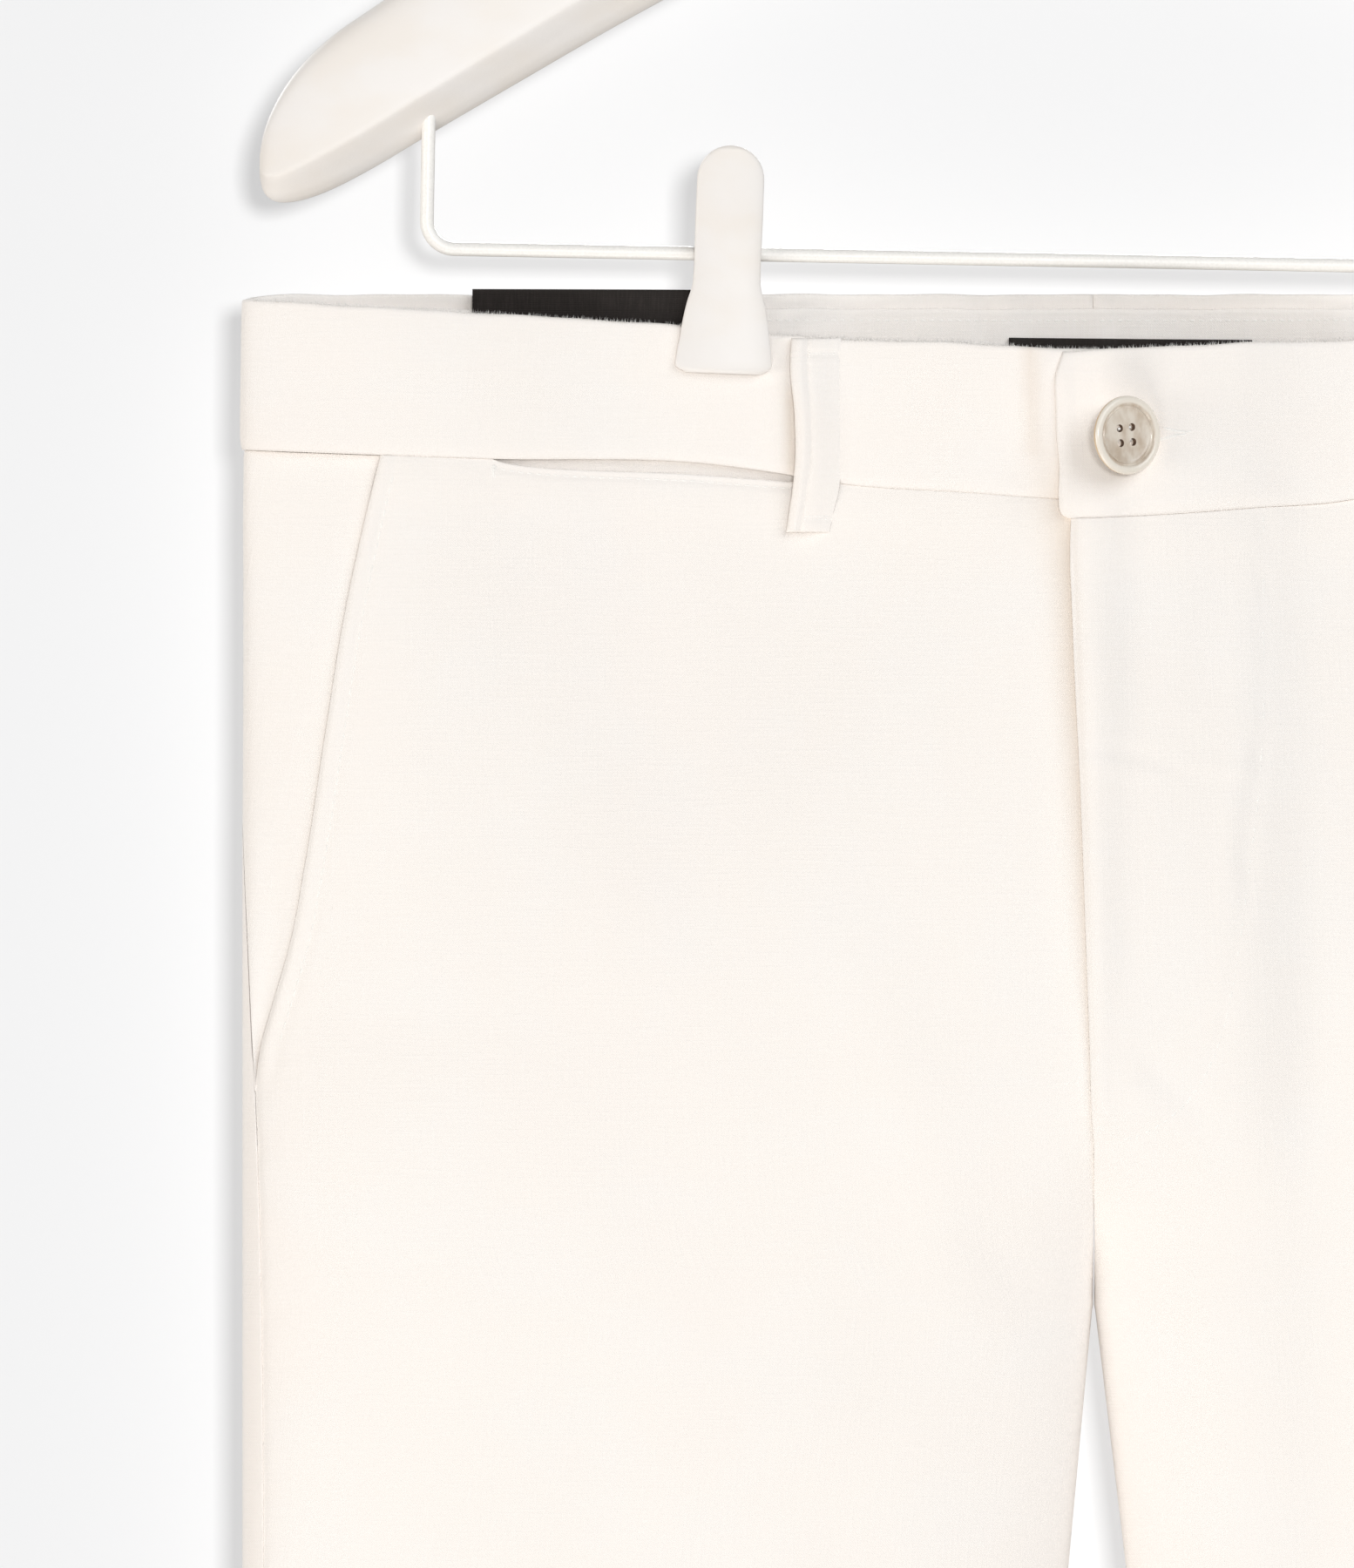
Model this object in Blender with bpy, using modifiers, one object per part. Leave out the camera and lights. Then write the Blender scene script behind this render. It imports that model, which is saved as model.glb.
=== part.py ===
"""Linen bermuda shorts, held by the waistband on a white clip hanger.

Metres, +Z up. The origin is the point where the hanger's hook bears on a rail.
The front of the shorts faces -Y. Right and left are the wearer's, so the right
leg lies at -X. Tables are in millimetres, and table() turns them into metres.
"""

import math

import bmesh
import bpy
import numpy as np

MM = 0.001

# ---- the shorts: driving sizes ------------------------------------------------
HALF_WIDTH = 217.4 * MM         # centre to the side edge, waist to hem
CROTCH_HEIGHT = -493.3 * MM     # where the two leg openings meet
HEM_HEIGHT = -760.0 * MM
FORK_HEIGHT = 62.0 * MM         # how far the U of the crotch seam climbs
FORK_GAP = 0.6 * MM             # between the legs just below the crotch
LEG_SPREAD = {"right": 0.092, "left": 0.120}    # inner leg edge, across per drop
ROUNDNESS = 3.0                 # exponent of the flattened section
PANEL = 1.2 * MM                # thickness of one panel
BAND = 2.0 * MM                 # thickness of the folded waistband
BAND_BACK = 1.2 * MM            # the same at the back, where the facing shows
BAND_PROUD = 0.4 * MM           # the band stands this far outside the panels
FACING = 1.0 * MM
LABEL = 1.0 * MM
SEAM = 0.3 * MM                 # gap between pieces at a seam
LAYER = 0.5 * MM                # gap between pieces that lie on each other

# Half depths of the hollow by height, from the middle plane to the cloth.
FORM = {
    "height": (-760, -640, -560, -493, -430, -380, -330, -285, -235),
    "front": (19, 19, 19, 20, 20, 19, 16, 12, 10),
    "back": (26, 27, 28, 30, 31, 28, 22, 15, 12),
}

# Top edge and lower edge of the front waistband, by the distance from the centre.
WAIST = {
    "right": {
        "across": (-30, 0, 9, 33, 64, 82, 98, 155, 184, 217.4),
        "top": (-249, -249.2, -249, -247.4, -246.4, -245.2, -243.6, -239.9, -238.2, -236.2),
        "seam": (-288, -287.8, -287.3, -285.6, -283.4, -280.4, -278.3, -277, -276, -274.7),
    },
    "left": {
        "across": (-12, 5, 20, 41, 63, 82, 106, 155, 184, 217.4),
        "top": (-249.8, -249, -248.3, -247.3, -246.7, -245.2, -243, -239.9, -238.2, -236.2),
        "seam": (-292.5, -292, -291.2, -289.6, -287.9, -284, -280.2, -277.2, -276, -274.7),
    },
}
SIDE_WAIST_SEAM = -274.7 * MM   # the waist seam's height at the side edge
BACK_TOP = -234.9 * MM
BACK_SEAM = -273.0 * MM
TAB_EDGE = -9.1 * MM            # left half's tab laps this far past the centre
UNDERLAP_END = 28.0 * MM        # right half's underlap behind the tab
TAB_LIFT = BAND + LAYER
LIFT_FADE = (34.0 * MM, 56.0 * MM)      # the lapped layers lie down again here

# Slant pocket mouth: distance from the centre by height.
MOUTH = {
    "height": (-437.3, -426.7, -416.7, -399.8, -381.3, -347.6, -314.2, -293.8, -274),
    "across": (214.4, 212.9, 210.0, 205.1, 201.6, 196.4, 191.0, 186.7, 182.0),
}
MOUTH_FOOT = -437.3 * MM
POCKET_UNDER = 13.0 * MM        # the facing runs on this far behind the front
MOUTH_BEND = -422.0 * MM        # from here the mouth runs straight to its foot
FACING_PAST_BEND = 2.0 * MM     # and the facing ends

# Side seam: how far inside the side edge it runs, negative behind the edge.
SIDE_SEAM = {
    "height": (-760, -450, -437, -424, -402, -387, -370, -340, -270),
    "inset": (3.6, 3.6, 3.1, 2.4, 1.4, 0.7, 0.05, -0.8, -1.6),
}

# Fly edge of the left front: distance past the centre by height.
FLY = {
    "height": (-449, -447.3, -430, -364, -343, -315, -290),
    "past": (-0.15, 0.7, 1.0, 2.9, 3.6, 4.7, 5.6),
}
FLY_FOOT = -449.0 * MM
FLY_LIFT = PANEL + 0.8 * MM
FLY_FADE = (-466.0 * MM, -451.0 * MM)
UNDERLAP_FOOT = -428.0 * MM

# Slit of the coin pocket in the right front's waist seam.
SLIT_START = 70.0 * MM
SLIT_END = 153.0 * MM
SLIT_DROP = 3.2 * MM
COIN_TOP = 7.0 * MM             # the piece behind reaches this far above the seam
COIN_DROP = 22.0 * MM

# Clips press both sides of the waistband together.
CLIP_ACROSS = 94.7 * MM
JAW_HALF = 14.0 * MM
PINCH_EASE = 78.0 * MM
PINCH_HEIGHTS = (-425.0 * MM, -258.0 * MM)
PINCH_FRONT = 2.5 * MM
PINCH_BACK = 3.0 * MM

# Largest folds: a soft trough or ridge along a line, in the panel's own plane.
FOLDS = {
    "face": ("front", "front", "front", "front", "back", "back", "back", "back"),
    "from_x": (-121, 57, 150, -150, -60, 75, 140, -150),
    "from_z": (-552, -330, -560, -640, -300, -300, -560, -590),
    "to_x": (-62, 61, 90, -120, -110, 120, 110, -95),
    "to_z": (-512, -740, -520, -745, -460, -450, -740, -540),
    "width": (13, 12, 14, 16, 16, 15, 17, 15),
    "push": (1.6, -2.2, 1.5, -1.4, -2.0, -1.8, -1.8, 1.8),
}

# Belt loops: distance from the centre of each.
LOOPS = {
    "name": ("front_right", "front_left", "back_right", "back_left", "back_centre"),
    "side": ("right", "left", "right", "left", "left"),
    "face": ("front", "front", "back", "back", "back"),
    "across": (70.7, 70.7, 150.0, 150.0, 0.0),
}
LOOP_WIDTH = 11.6 * MM
LOOP_THICK = 1.6 * MM
LOOP_BELOW = 13.0 * MM          # below the waist seam
LOOP_ARCH = 2.4 * MM            # room for a belt at the middle
LOOP_TOP = 0.5 * MM             # below the band's top edge
LOOP_REST = 0.9 * MM            # over the panel at the tacked ends

# Labels inside the back waistband: edges across, top, height.
LABELS = {
    "name": ("label_side", "label_centre"),
    "start": (-158.0, -21.8),
    "width": (63.0, 62.7),
    "top": (-233.9, -246.3),
    "height": (24.0, 24.0),
}
FACING_TOP = 4.0 * MM           # below the waistband's top edge
FACING_REACH = 205.0 * MM

# ---- the button ----------------------------------------------------------------
BUTTON_RADIUS = 10.05 * MM
BUTTON_THICK = 2.7 * MM
BUTTON_CENTRE = (7.9 * MM, -271.1 * MM)         # across, height
BUTTON_TURN = math.radians(34)
BUTTON_SPIN = math.radians(5)
BUTTON_HOLE = 1.05 * MM
BUTTON_HOLE_SQUARE = 1.88 * MM
THREAD_RADIUS = 1.5 * MM
# Face and back of the button: radius and height of the turned outline.
BUTTON_OUTLINE = {
    "radius": (0, 7.4, 8.3, 9.1, 9.8, 10.05, 9.8, 8.6, 5.0, 0),
    "height": (1.5, 1.6, 2.2, 2.7, 2.5, 1.7, 0.8, 0.2, 0.0, 0.0),
}

# ---- the hanger ----------------------------------------------------------------
HANGER_TILT = math.radians(1.05)
HOOK_WIRE = 2.0 * MM            # radius
HOOK_BEND = 22.0 * MM           # radius of the wire's centre line
HOOK_END_TURN = math.radians(205)
HOOK_BACK_TURN = math.radians(60)
HOOK_FOOT = -88.0 * MM
ROD_WIRE = 1.75 * MM            # radius
ROD_HEIGHT = -226.3 * MM
ROD_HALF = 166.3 * MM
ROD_BEND = 7.2 * MM
ROD_TOP = -180.0 * MM
BORE_PLAY = 0.3 * MM
HOOK_BORE_TOP = -60.0 * MM      # clear above the body

# The moulded body from its tip to its middle: outline and depths.
ARM = {
    "from_tip": (0.15, 0.8, 3.5, 9, 18, 29, 44, 66, 92, 123, 154, 183, 209.4),
    "top": (
        -203, -198.5, -190.7, -181.7, -172.6, -164.6, -153.9, -138.3, -120, -99.6, -83.2, -74.3, -72
    ),
    "bottom": (
        -208, -211.5, -214.8, -215.2, -212.2, -206.3, -197, -183.6, -168, -150.6, -134.2, -122.2, -117
    ),
    "front": (1.0, 2.0, 3.8, 5.4, 6.6, 7.2, 7.4, 7.4, 7.4, 7.2, 7.0, 7.0, 7.0),
    "back": (1.0, 2.0, 4.0, 6.0, 7.6, 8.4, 8.6, 8.6, 8.4, 8.0, 7.4, 7.0, 7.0),
}
# Section of the body, as shares of its depths and of its height, from the top round the front.
ARM_SECTION = {
    "depth": (0.0, -0.45, -0.8, -0.97, -0.93, -0.35, 0.3, 0.55, 0.88, 1.0, 0.85, 0.5),
    "drop": (0.0, 0.06, 0.25, 0.55, 0.70, 0.86, 0.98, 0.99, 0.86, 0.6, 0.28, 0.07),
}

# ---- the clips -----------------------------------------------------------------
CLIPS = {
    "name": ("clip_right", "clip_left"),
    "along": (-89.3, 98.4),
    "lean": (1.15, -2.25),
}
CLIP_ABOVE_ROD = 27.6 * MM
CLIP_THICK = 2.0 * MM
CLIP_DOME = 8.55 * MM
CLIP_CROWN = 0.6 * MM
SLEEVE_RADIUS = 3.5 * MM
SLEEVE_HALF = 7.0 * MM
# One plate: half width and distance of its inner face from the rod's plane, by drop from its top.
CLIP_PLATE = {
    "drop": (8.55, 14, 24, 31.5, 36, 40.4, 44.9, 49.8, 53.8, 56.8, 58.2),
    "half": (8.55, 8.6, 8.58, 8.55, 8.8, 10.0, 10.9, 11.55, 12.1, 12.0, 10.4),
    "stand": (6.4, 5.6, 4.2, 3.9, 3.8, 3.6, 3.4, 3.3, 3.3, 3.3, 3.3),
}
CLIP_TOP_STAND = 7.8 * MM
BACK_PLATE_EXTRA = 0.5 * MM

# ---- the grids -----------------------------------------------------------------
PANEL_COLUMNS = 17
FACING_COLUMNS = 9
SEAM_ROWS = 6                   # rows over which a panel's rows level out
BAND_COLUMNS = 52
BAND_ROWS = 2
UPPER_ROWS = 8
FORK_ROWS = 5
LEG_ROWS = 8
ARM_STATIONS = 15
BORE_SIDES = 20
TINY = 1e-6
ANGLE_STEP = 0.01               # for the direction of the section's curve

LINEN = ((0.93, 0.89, 0.83), 0.9)
SATIN = ((0.025, 0.02, 0.018), 0.6)
HORN = ((0.62, 0.54, 0.44), 0.3)
THREAD = ((0.9, 0.86, 0.8), 0.8)
PLASTIC = ((0.88, 0.84, 0.80), 0.35)
COATED_WIRE = ((0.9, 0.86, 0.82), 0.4)
STEEL = ((0.75, 0.75, 0.76), 0.25)

SIGN = {"right": -1.0, "left": 1.0}


# ---- small tools ---------------------------------------------------------------
def table(rows, column):
    """One column of a table, in metres."""
    return np.array(rows[column], dtype=float) * MM


def follow(at, stations, values):
    """Smooth curve through a table's values: cubic pieces with shared slopes."""
    at = np.clip(at, stations[0], stations[-1])
    slopes = np.gradient(values, stations)
    low = np.clip(np.searchsorted(stations, at) - 1, 0, len(stations) - 2)
    step = stations[low + 1] - stations[low]
    t = (at - stations[low]) / step
    start = (1 + 2 * t) * (1 - t) ** 2 * values[low] + t * (1 - t) ** 2 * step * slopes[low]
    stop = t * t * (3 - 2 * t) * values[low + 1] + t * t * (t - 1) * step * slopes[low + 1]
    return start + stop


def ease(value, start, stop):
    """0 before start, 1 after stop, and a smooth S between."""
    t = np.clip((value - start) / (stop - start), 0.0, 1.0)
    return t * t * (3 - 2 * t)


def material(name, finish, metallic=0.0):
    """A plain finish: colour and roughness, and how metallic it is."""
    colour, roughness = finish
    made = bpy.data.materials.new(name)
    made.use_nodes = True
    shader = made.node_tree.nodes["Principled BSDF"]
    shader.inputs["Base Color"].default_value = (*colour, 1.0)
    shader.inputs["Roughness"].default_value = roughness
    shader.inputs["Metallic"].default_value = metallic
    return made


def collection(name):
    made = bpy.data.collections.new(name)
    bpy.context.scene.collection.children.link(made)
    return made


def place(name, data, home, finish=None, metallic=0.0, parent=None):
    """A new object with its own material, in a collection and under a parent."""
    piece = bpy.data.objects.new(name, data)
    home.objects.link(piece)
    if finish:
        data.materials.append(material(name, finish, metallic))
    if parent:
        piece.parent = parent
    return piece


# ---- the form of the cloth -------------------------------------------------------
def leg_lens(side, height):
    """Half width of the flattened oval that one half's section follows at a height.

    Below the crotch it is a whole leg. Above it the oval grows past the centre plane,
    which cuts it, so that the cut's depth climbs like the U of a crotch seam.
    """
    climb = np.clip((height - CROTCH_HEIGHT) / FORK_HEIGHT, 0.0, 1.0)
    reach = 1 - (1 - np.sqrt(climb) ** ROUNDNESS) ** (1 / ROUNDNESS)
    above = (HALF_WIDTH - SEAM / 2) / (2 - reach)
    inner = FORK_GAP / 2 + LEG_SPREAD[side] * (CROTCH_HEIGHT - height)
    return np.where(height < CROTCH_HEIGHT, (HALF_WIDTH - inner) / 2, above)


def angle_at(side, across, height):
    """Angle round the section, 0 at the side edge, where the cloth is this far from the centre."""
    half = leg_lens(side, height)
    return np.arccos(np.clip((across - HALF_WIDTH + half) / half, -1.0, 1.0))


def folds(face, x, height):
    """Push of the largest folds at a point of one face."""
    push = np.zeros_like(x)
    for row, owner in enumerate(FOLDS["face"]):
        if owner != face:
            continue
        start = np.array([FOLDS["from_x"][row], FOLDS["from_z"][row]]) * MM
        run = np.array([FOLDS["to_x"][row], FOLDS["to_z"][row]]) * MM - start
        length = math.hypot(*run)
        along = ((x - start[0]) * run[0] + (height - start[1]) * run[1]) / length
        aside = ((x - start[0]) * run[1] - (height - start[1]) * run[0]) / length
        ends = ease(along, -0.25 * length, 0.3 * length) * (1 - ease(along, 0.7 * length, 1.25 * length))
        push += FOLDS["push"][row] * MM * ends * np.exp(-(aside / (FOLDS["width"][row] * MM)) ** 2)
    return push


def section(side, angle, height):
    """Plan position of the panels' outer face: angle above 0 runs over the front."""
    angle, height = np.broadcast_arrays(angle, height)
    half = leg_lens(side, height)
    cosine = np.cos(angle)
    across = HALF_WIDTH - half + half * cosine
    swell = (1 - np.abs(cosine) ** ROUNDNESS) ** (1 / ROUNDNESS)
    heights = table(FORM, "height")
    front = angle > 0
    depth = swell * np.where(
        front,
        follow(height, heights, table(FORM, "front")),
        follow(height, heights, table(FORM, "back")),
    )
    x = SIGN[side] * across
    pinch = 1 - ease(np.abs(np.abs(x) - CLIP_ACROSS), JAW_HALF, JAW_HALF + PINCH_EASE)
    pinch = pinch * ease(height, *PINCH_HEIGHTS)
    held = np.where(front, PINCH_FRONT, PINCH_BACK)
    depth = np.where(depth > held, held + (depth - held) * (1 - pinch), depth)
    push = np.where(front, folds("front", x, height), folds("back", x, height))
    depth = depth + push * swell ** 2
    return x, np.where(front, -depth, depth)


def half_turn(angle):
    """The same angle between -pi and pi, so that a step past the inseam changes face."""
    return angle - 2 * np.pi * np.round(angle / (2 * np.pi))


def cloth(side, angle, height, out=0.0):
    """Points of the form, moved outwards in plan by a distance."""
    angle, height = np.broadcast_arrays(angle, height)
    x, y = section(side, angle, height)
    x_on, y_on = section(side, half_turn(angle + ANGLE_STEP), height)
    x_off, y_off = section(side, half_turn(angle - ANGLE_STEP), height)
    run = np.hypot(x_on - x_off, y_on - y_off)
    turn = SIGN[side]
    x = x - turn * (y_on - y_off) / run * out
    y = y + turn * (x_on - x_off) / run * out
    return np.stack([x, y, height + 0 * x], axis=-1)


def wall(name, outer, inner, home, finish=LINEN):
    """A cloth piece: a grid of points on its outer face, the same grid on its inner face
    and a rim between their borders, so that neighbours share their seam's direction."""
    rows, columns = outer.shape[:2]
    index = np.arange(rows * columns).reshape(rows, columns)
    quads = np.stack([index[:-1, :-1], index[:-1, 1:], index[1:, 1:], index[1:, :-1]], axis=-1)
    quads = quads.reshape(-1, 4)
    border = np.concatenate([index[0], index[1:, -1], index[-1, -2::-1], index[-2:0:-1, 0]])
    after = np.roll(border, -1)
    count = rows * columns
    rim = np.stack([after, border, border + count, after + count], axis=-1)
    halves = np.concatenate([quads[:, [0, 1, 2]], quads[:, [0, 2, 3]]])
    rim = np.concatenate([rim[:, [0, 1, 2]], rim[:, [0, 2, 3]]])
    faces = np.concatenate([halves, halves[:, ::-1] + count, rim])
    points = np.concatenate([outer.reshape(-1, 3), inner.reshape(-1, 3)])
    corners = points[halves]
    normals = np.cross(corners[:, 1] - corners[:, 0], corners[:, 2] - corners[:, 0])
    if np.sum(normals * (points[halves] - points[halves + count]).mean(axis=1)) < 0:
        faces = faces[:, ::-1]
    mesh = bpy.data.meshes.new(name)
    mesh.from_pydata(points.tolist(), [], faces.tolist())
    mesh.shade_smooth()
    mesh.set_sharp_from_angle(angle=math.radians(50))
    return place(name, mesh, home, finish)


def seam_step(side, angle, height, toward):
    """Half a seam's gap along the section, towards growing (1) or falling (-1) angles."""
    x_on, y_on = section(side, half_turn(angle + ANGLE_STEP), height)
    x_off, y_off = section(side, half_turn(angle - ANGLE_STEP), height)
    run = np.stack([x_on - x_off, y_on - y_off, 0 * x_on], axis=-1)
    return toward * SEAM / 2 * run / np.linalg.norm(run, axis=-1, keepdims=True)


def lap_lift(past, height=None):
    """1 where the left half lies over the right, fading out across and at the fly's foot."""
    across = 1 - ease(past, *LIFT_FADE)
    if height is None:
        return across
    return across * ease(height, *FLY_FADE)


# ---- panels ----------------------------------------------------------------------
def panel_heights():
    """Nominal heights of the rows: level at the side, bent to the waist seam further in."""
    upper = np.linspace(SIDE_WAIST_SEAM, MOUTH_BEND, UPPER_ROWS)
    t = np.linspace(0.0, 1.0, FORK_ROWS)
    fork = CROTCH_HEIGHT + (FLY_FOOT - CROTCH_HEIGHT) * (1 - t) ** 1.6
    leg = np.linspace(CROTCH_HEIGHT, HEM_HEIGHT, LEG_ROWS)[1:]
    return np.concatenate([upper, [MOUTH_FOOT], fork, leg])


def seam_drop(side, across):
    """How far the waist seam lies below its height at the side, going round the front."""
    seam = follow(across, table(WAIST[side], "across"), table(WAIST[side], "seam"))
    return seam - SIDE_WAIST_SEAM


def coin_slit(across):
    """How far the right front hangs open below the waistband along the coin pocket."""
    t = np.clip((across - SLIT_START) / (SLIT_END - SLIT_START), 0.0, 1.0)
    return SLIT_DROP * np.sqrt(np.sin(np.pi * t).clip(0.0))


def back_seam_rise(side, angle):
    """How far the waist seam climbs above its height at the side, going round the back."""
    rise = BACK_SEAM - SIDE_WAIST_SEAM
    return rise * np.sin(np.clip(-angle, 0.0, np.pi / 2))


def side_seam_angle(side, height):
    inset = follow(height, table(SIDE_SEAM, "height"), table(SIDE_SEAM, "inset"))
    return np.sign(inset) * angle_at(side, HALF_WIDTH - np.abs(inset), height)


def upper_fade(nominal):
    """1 at the waist seam, falling to 0 a few rows down, where the rows lie level."""
    return np.clip(1 - np.arange(len(nominal)) / SEAM_ROWS, 0.0, 1.0)[:, None]


def front_faces(side):
    """Outer and inner grid of a front: rows from the waist seam to the hem, columns
    from the side inwards."""
    nominal = panel_heights()
    u = np.linspace(0.0, 1.0, PANEL_COLUMNS + 1)
    mouth = follow(nominal, table(MOUTH, "height"), table(MOUTH, "across"))
    outer = side_seam_angle(side, nominal)
    outer = np.where(nominal > MOUTH_FOOT + TINY, angle_at(side, mouth, nominal), outer)
    past = np.full_like(nominal, -SEAM / 2)
    if side == "left":
        fly = follow(nominal, table(FLY, "height"), table(FLY, "past"))
        past = np.where(nominal > FLY_FOOT - TINY, fly, past)
    above_fork = nominal > CROTCH_HEIGHT + TINY
    inner = np.where(above_fork, angle_at(side, -past, nominal), np.pi)
    angle = outer[:, None] + (inner - outer)[:, None] * u
    across = SIGN[side] * section(side, angle, nominal[:, None])[0]
    fade = upper_fade(nominal)
    height = nominal[:, None] + seam_drop(side, across) * fade - SEAM / 2 * (fade == 1)
    lift = 0.0
    if side == "right":
        height = height - coin_slit(across) * fade ** 4
    else:
        lift = FLY_LIFT * lap_lift(across, height)
    faces = [cloth(side, angle, height, lift - depth) for depth in (0.0, PANEL)]
    inseam = seam_step(side, angle[:, -1], height[:, -1], -1) * ~above_fork[:, None]
    side_seam = seam_step(side, angle[:, 0], height[:, 0], 1)
    for points in faces:
        points[:, 0] += side_seam
        points[:, -1] += inseam
    return faces


def back_faces(side):
    """Outer and inner grid of a back, from the side seam round to the centre."""
    nominal = panel_heights()
    u = np.linspace(0.0, 1.0, PANEL_COLUMNS + 1)
    outer = side_seam_angle(side, nominal)
    above_fork = nominal > CROTCH_HEIGHT + TINY
    inner = np.where(above_fork, angle_at(side, SEAM / 2, nominal), np.pi - TINY)
    angle = outer[:, None] - (inner + outer)[:, None] * u
    fade = upper_fade(nominal)
    height = nominal[:, None] + back_seam_rise(side, angle) * fade - SEAM / 2 * (fade == 1)
    faces = [cloth(side, angle, height, -depth) for depth in (0.0, PANEL)]
    inseam = seam_step(side, angle[:, -1], height[:, -1], 1) * ~above_fork[:, None]
    side_seam = seam_step(side, angle[:, 0], height[:, 0], -1)
    for points in faces:
        points[:, 0] += side_seam
        points[:, -1] += inseam
    return faces


def pocket_facing_faces(side):
    """The side panel: from the side seam to behind the front's slanted mouth."""
    nominal = panel_heights()
    nominal = np.append(nominal[nominal > MOUTH_BEND - TINY], MOUTH_BEND - FACING_PAST_BEND)
    u = np.linspace(0.0, 1.0, FACING_COLUMNS)
    mouth = follow(nominal, table(MOUTH, "height"), table(MOUTH, "across"))
    outer = side_seam_angle(side, nominal)[:, None]
    inner = angle_at(side, mouth - POCKET_UNDER, nominal)[:, None]
    mouth_angle = angle_at(side, mouth, nominal)[:, None]
    angle = outer + (inner - outer) * u
    across = SIGN[side] * section(side, angle, nominal[:, None])[0]
    fade = upper_fade(nominal)
    drop = np.where(angle > 0, seam_drop(side, across), back_seam_rise(side, angle))
    height = nominal[:, None] + drop * fade - SEAM / 2 * (fade == 1)
    sink = (PANEL + LAYER) * ease(angle, outer, outer + 0.8 * (mouth_angle - outer))
    faces = [cloth(side, angle, height, -sink - depth) for depth in (0.0, PANEL)]
    side_seam = seam_step(side, angle[:, 0], height[:, 0], 1)
    for points in faces:
        points[:, 0] += side_seam
    return faces


def make_panels(home):
    for side in SIGN:
        wall(f"front_{side}", *front_faces(side), home)
        wall(f"back_{side}", *back_faces(side), home)
        wall(f"pocket_facing_{side}", *pocket_facing_faces(side), home)


def make_fly_underlap(home):
    """The strip that carries on from the right front behind the left one."""
    past = np.linspace(LIFT_FADE[0] - 2 * MM, SEAM / 2, 5)[None, :]
    foot = np.linspace(0.0, 1.0, 9)[:, None]
    top = seam_drop("left", past) + SIDE_WAIST_SEAM - SEAM / 2
    height = top + (UNDERLAP_FOOT - top) * foot
    angle = angle_at("left", past, height)
    wall("fly_underlap", *[cloth("left", angle, height, -depth) for depth in (0.0, PANEL)], home)


def make_coin_pocket(home):
    """The pocket's cloth behind the slit, moved in from the right front."""
    across = np.linspace(SLIT_START - 2 * MM, SLIT_END + 3 * MM, 11)[None, :]
    seam = seam_drop("right", across) + SIDE_WAIST_SEAM
    height = seam + np.array([COIN_TOP, 0.0, -0.5 * COIN_DROP, -COIN_DROP])[:, None]
    angle = angle_at("right", across, height)
    behind = BAND - BAND_PROUD + LAYER
    faces = [cloth("right", angle, height, -behind - depth) for depth in (0.0, FACING)]
    wall("coin_pocket", *faces, home)


# ---- waistband -------------------------------------------------------------------
def band_edges(side, across, angle):
    """Top and lower edge of the waistband at points round one half."""
    stations = table(WAIST[side], "across")
    front_top = follow(across, stations, table(WAIST[side], "top"))
    front_seam = follow(across, stations, table(WAIST[side], "seam"))
    round_side = ease(-angle, 0.0, 0.35)
    back_top = front_top[np.argmin(np.abs(angle))] * (1 - round_side) + BACK_TOP * round_side
    back_seam = SIDE_WAIST_SEAM + back_seam_rise(side, angle)
    top = np.where(angle > 0, front_top, back_top)
    seam = np.where(angle > 0, front_seam, back_seam)
    return top, seam + SEAM / 2


def band_faces(side, start, stop, out, thickness, top_inset=0.0, columns=BAND_COLUMNS):
    """Outer and inner grid of a strip along the band between two angles."""
    angle = np.linspace(start, stop, columns)
    across = SIGN[side] * section(side, angle, BACK_TOP)[0]
    top, seam = band_edges(side, across, angle)
    t = np.linspace(0.0, 1.0, BAND_ROWS + 1)[:, None]
    height = (top - top_inset) * (1 - t) + seam * t
    if side == "left":
        out = out + TAB_LIFT * lap_lift(across) * (angle > 0)
    return [cloth(side, angle, height, out - depth) for depth in (0.0, thickness)]


def band_thickness(angle):
    """The folded band in front, one layer behind, where the facing is a piece of its own."""
    return BAND_BACK + (BAND - BAND_BACK) * ease(angle, -0.25, -0.05)


def make_waistband(home):
    """Each half runs from its front end round the side to the centre back."""
    front_end = {"right": -UNDERLAP_END, "left": TAB_EDGE}
    for side in SIGN:
        start = angle_at(side, front_end[side], BACK_TOP)
        stop = -angle_at(side, SEAM / 2, BACK_TOP)
        thickness = band_thickness(np.linspace(start, stop, BAND_COLUMNS))
        wall(f"waistband_{side}", *band_faces(side, start, stop, BAND_PROUD, thickness), home)


def make_facing(home):
    """The facing's back stretch, one strip from side to side."""
    out = BAND_PROUD - BAND_BACK - LAYER
    stop = -angle_at("right", 0.0, BACK_TOP)
    start = -angle_at("right", FACING_REACH, BACK_TOP)
    halves = [band_faces(side, start, stop, out, FACING, FACING_TOP, BAND_COLUMNS // 2) for side in SIGN]
    faces = [np.concatenate([right, left[:, -2::-1]], axis=1) for right, left in zip(*halves)]
    wall("waistband_facing", *faces, home)


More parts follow.
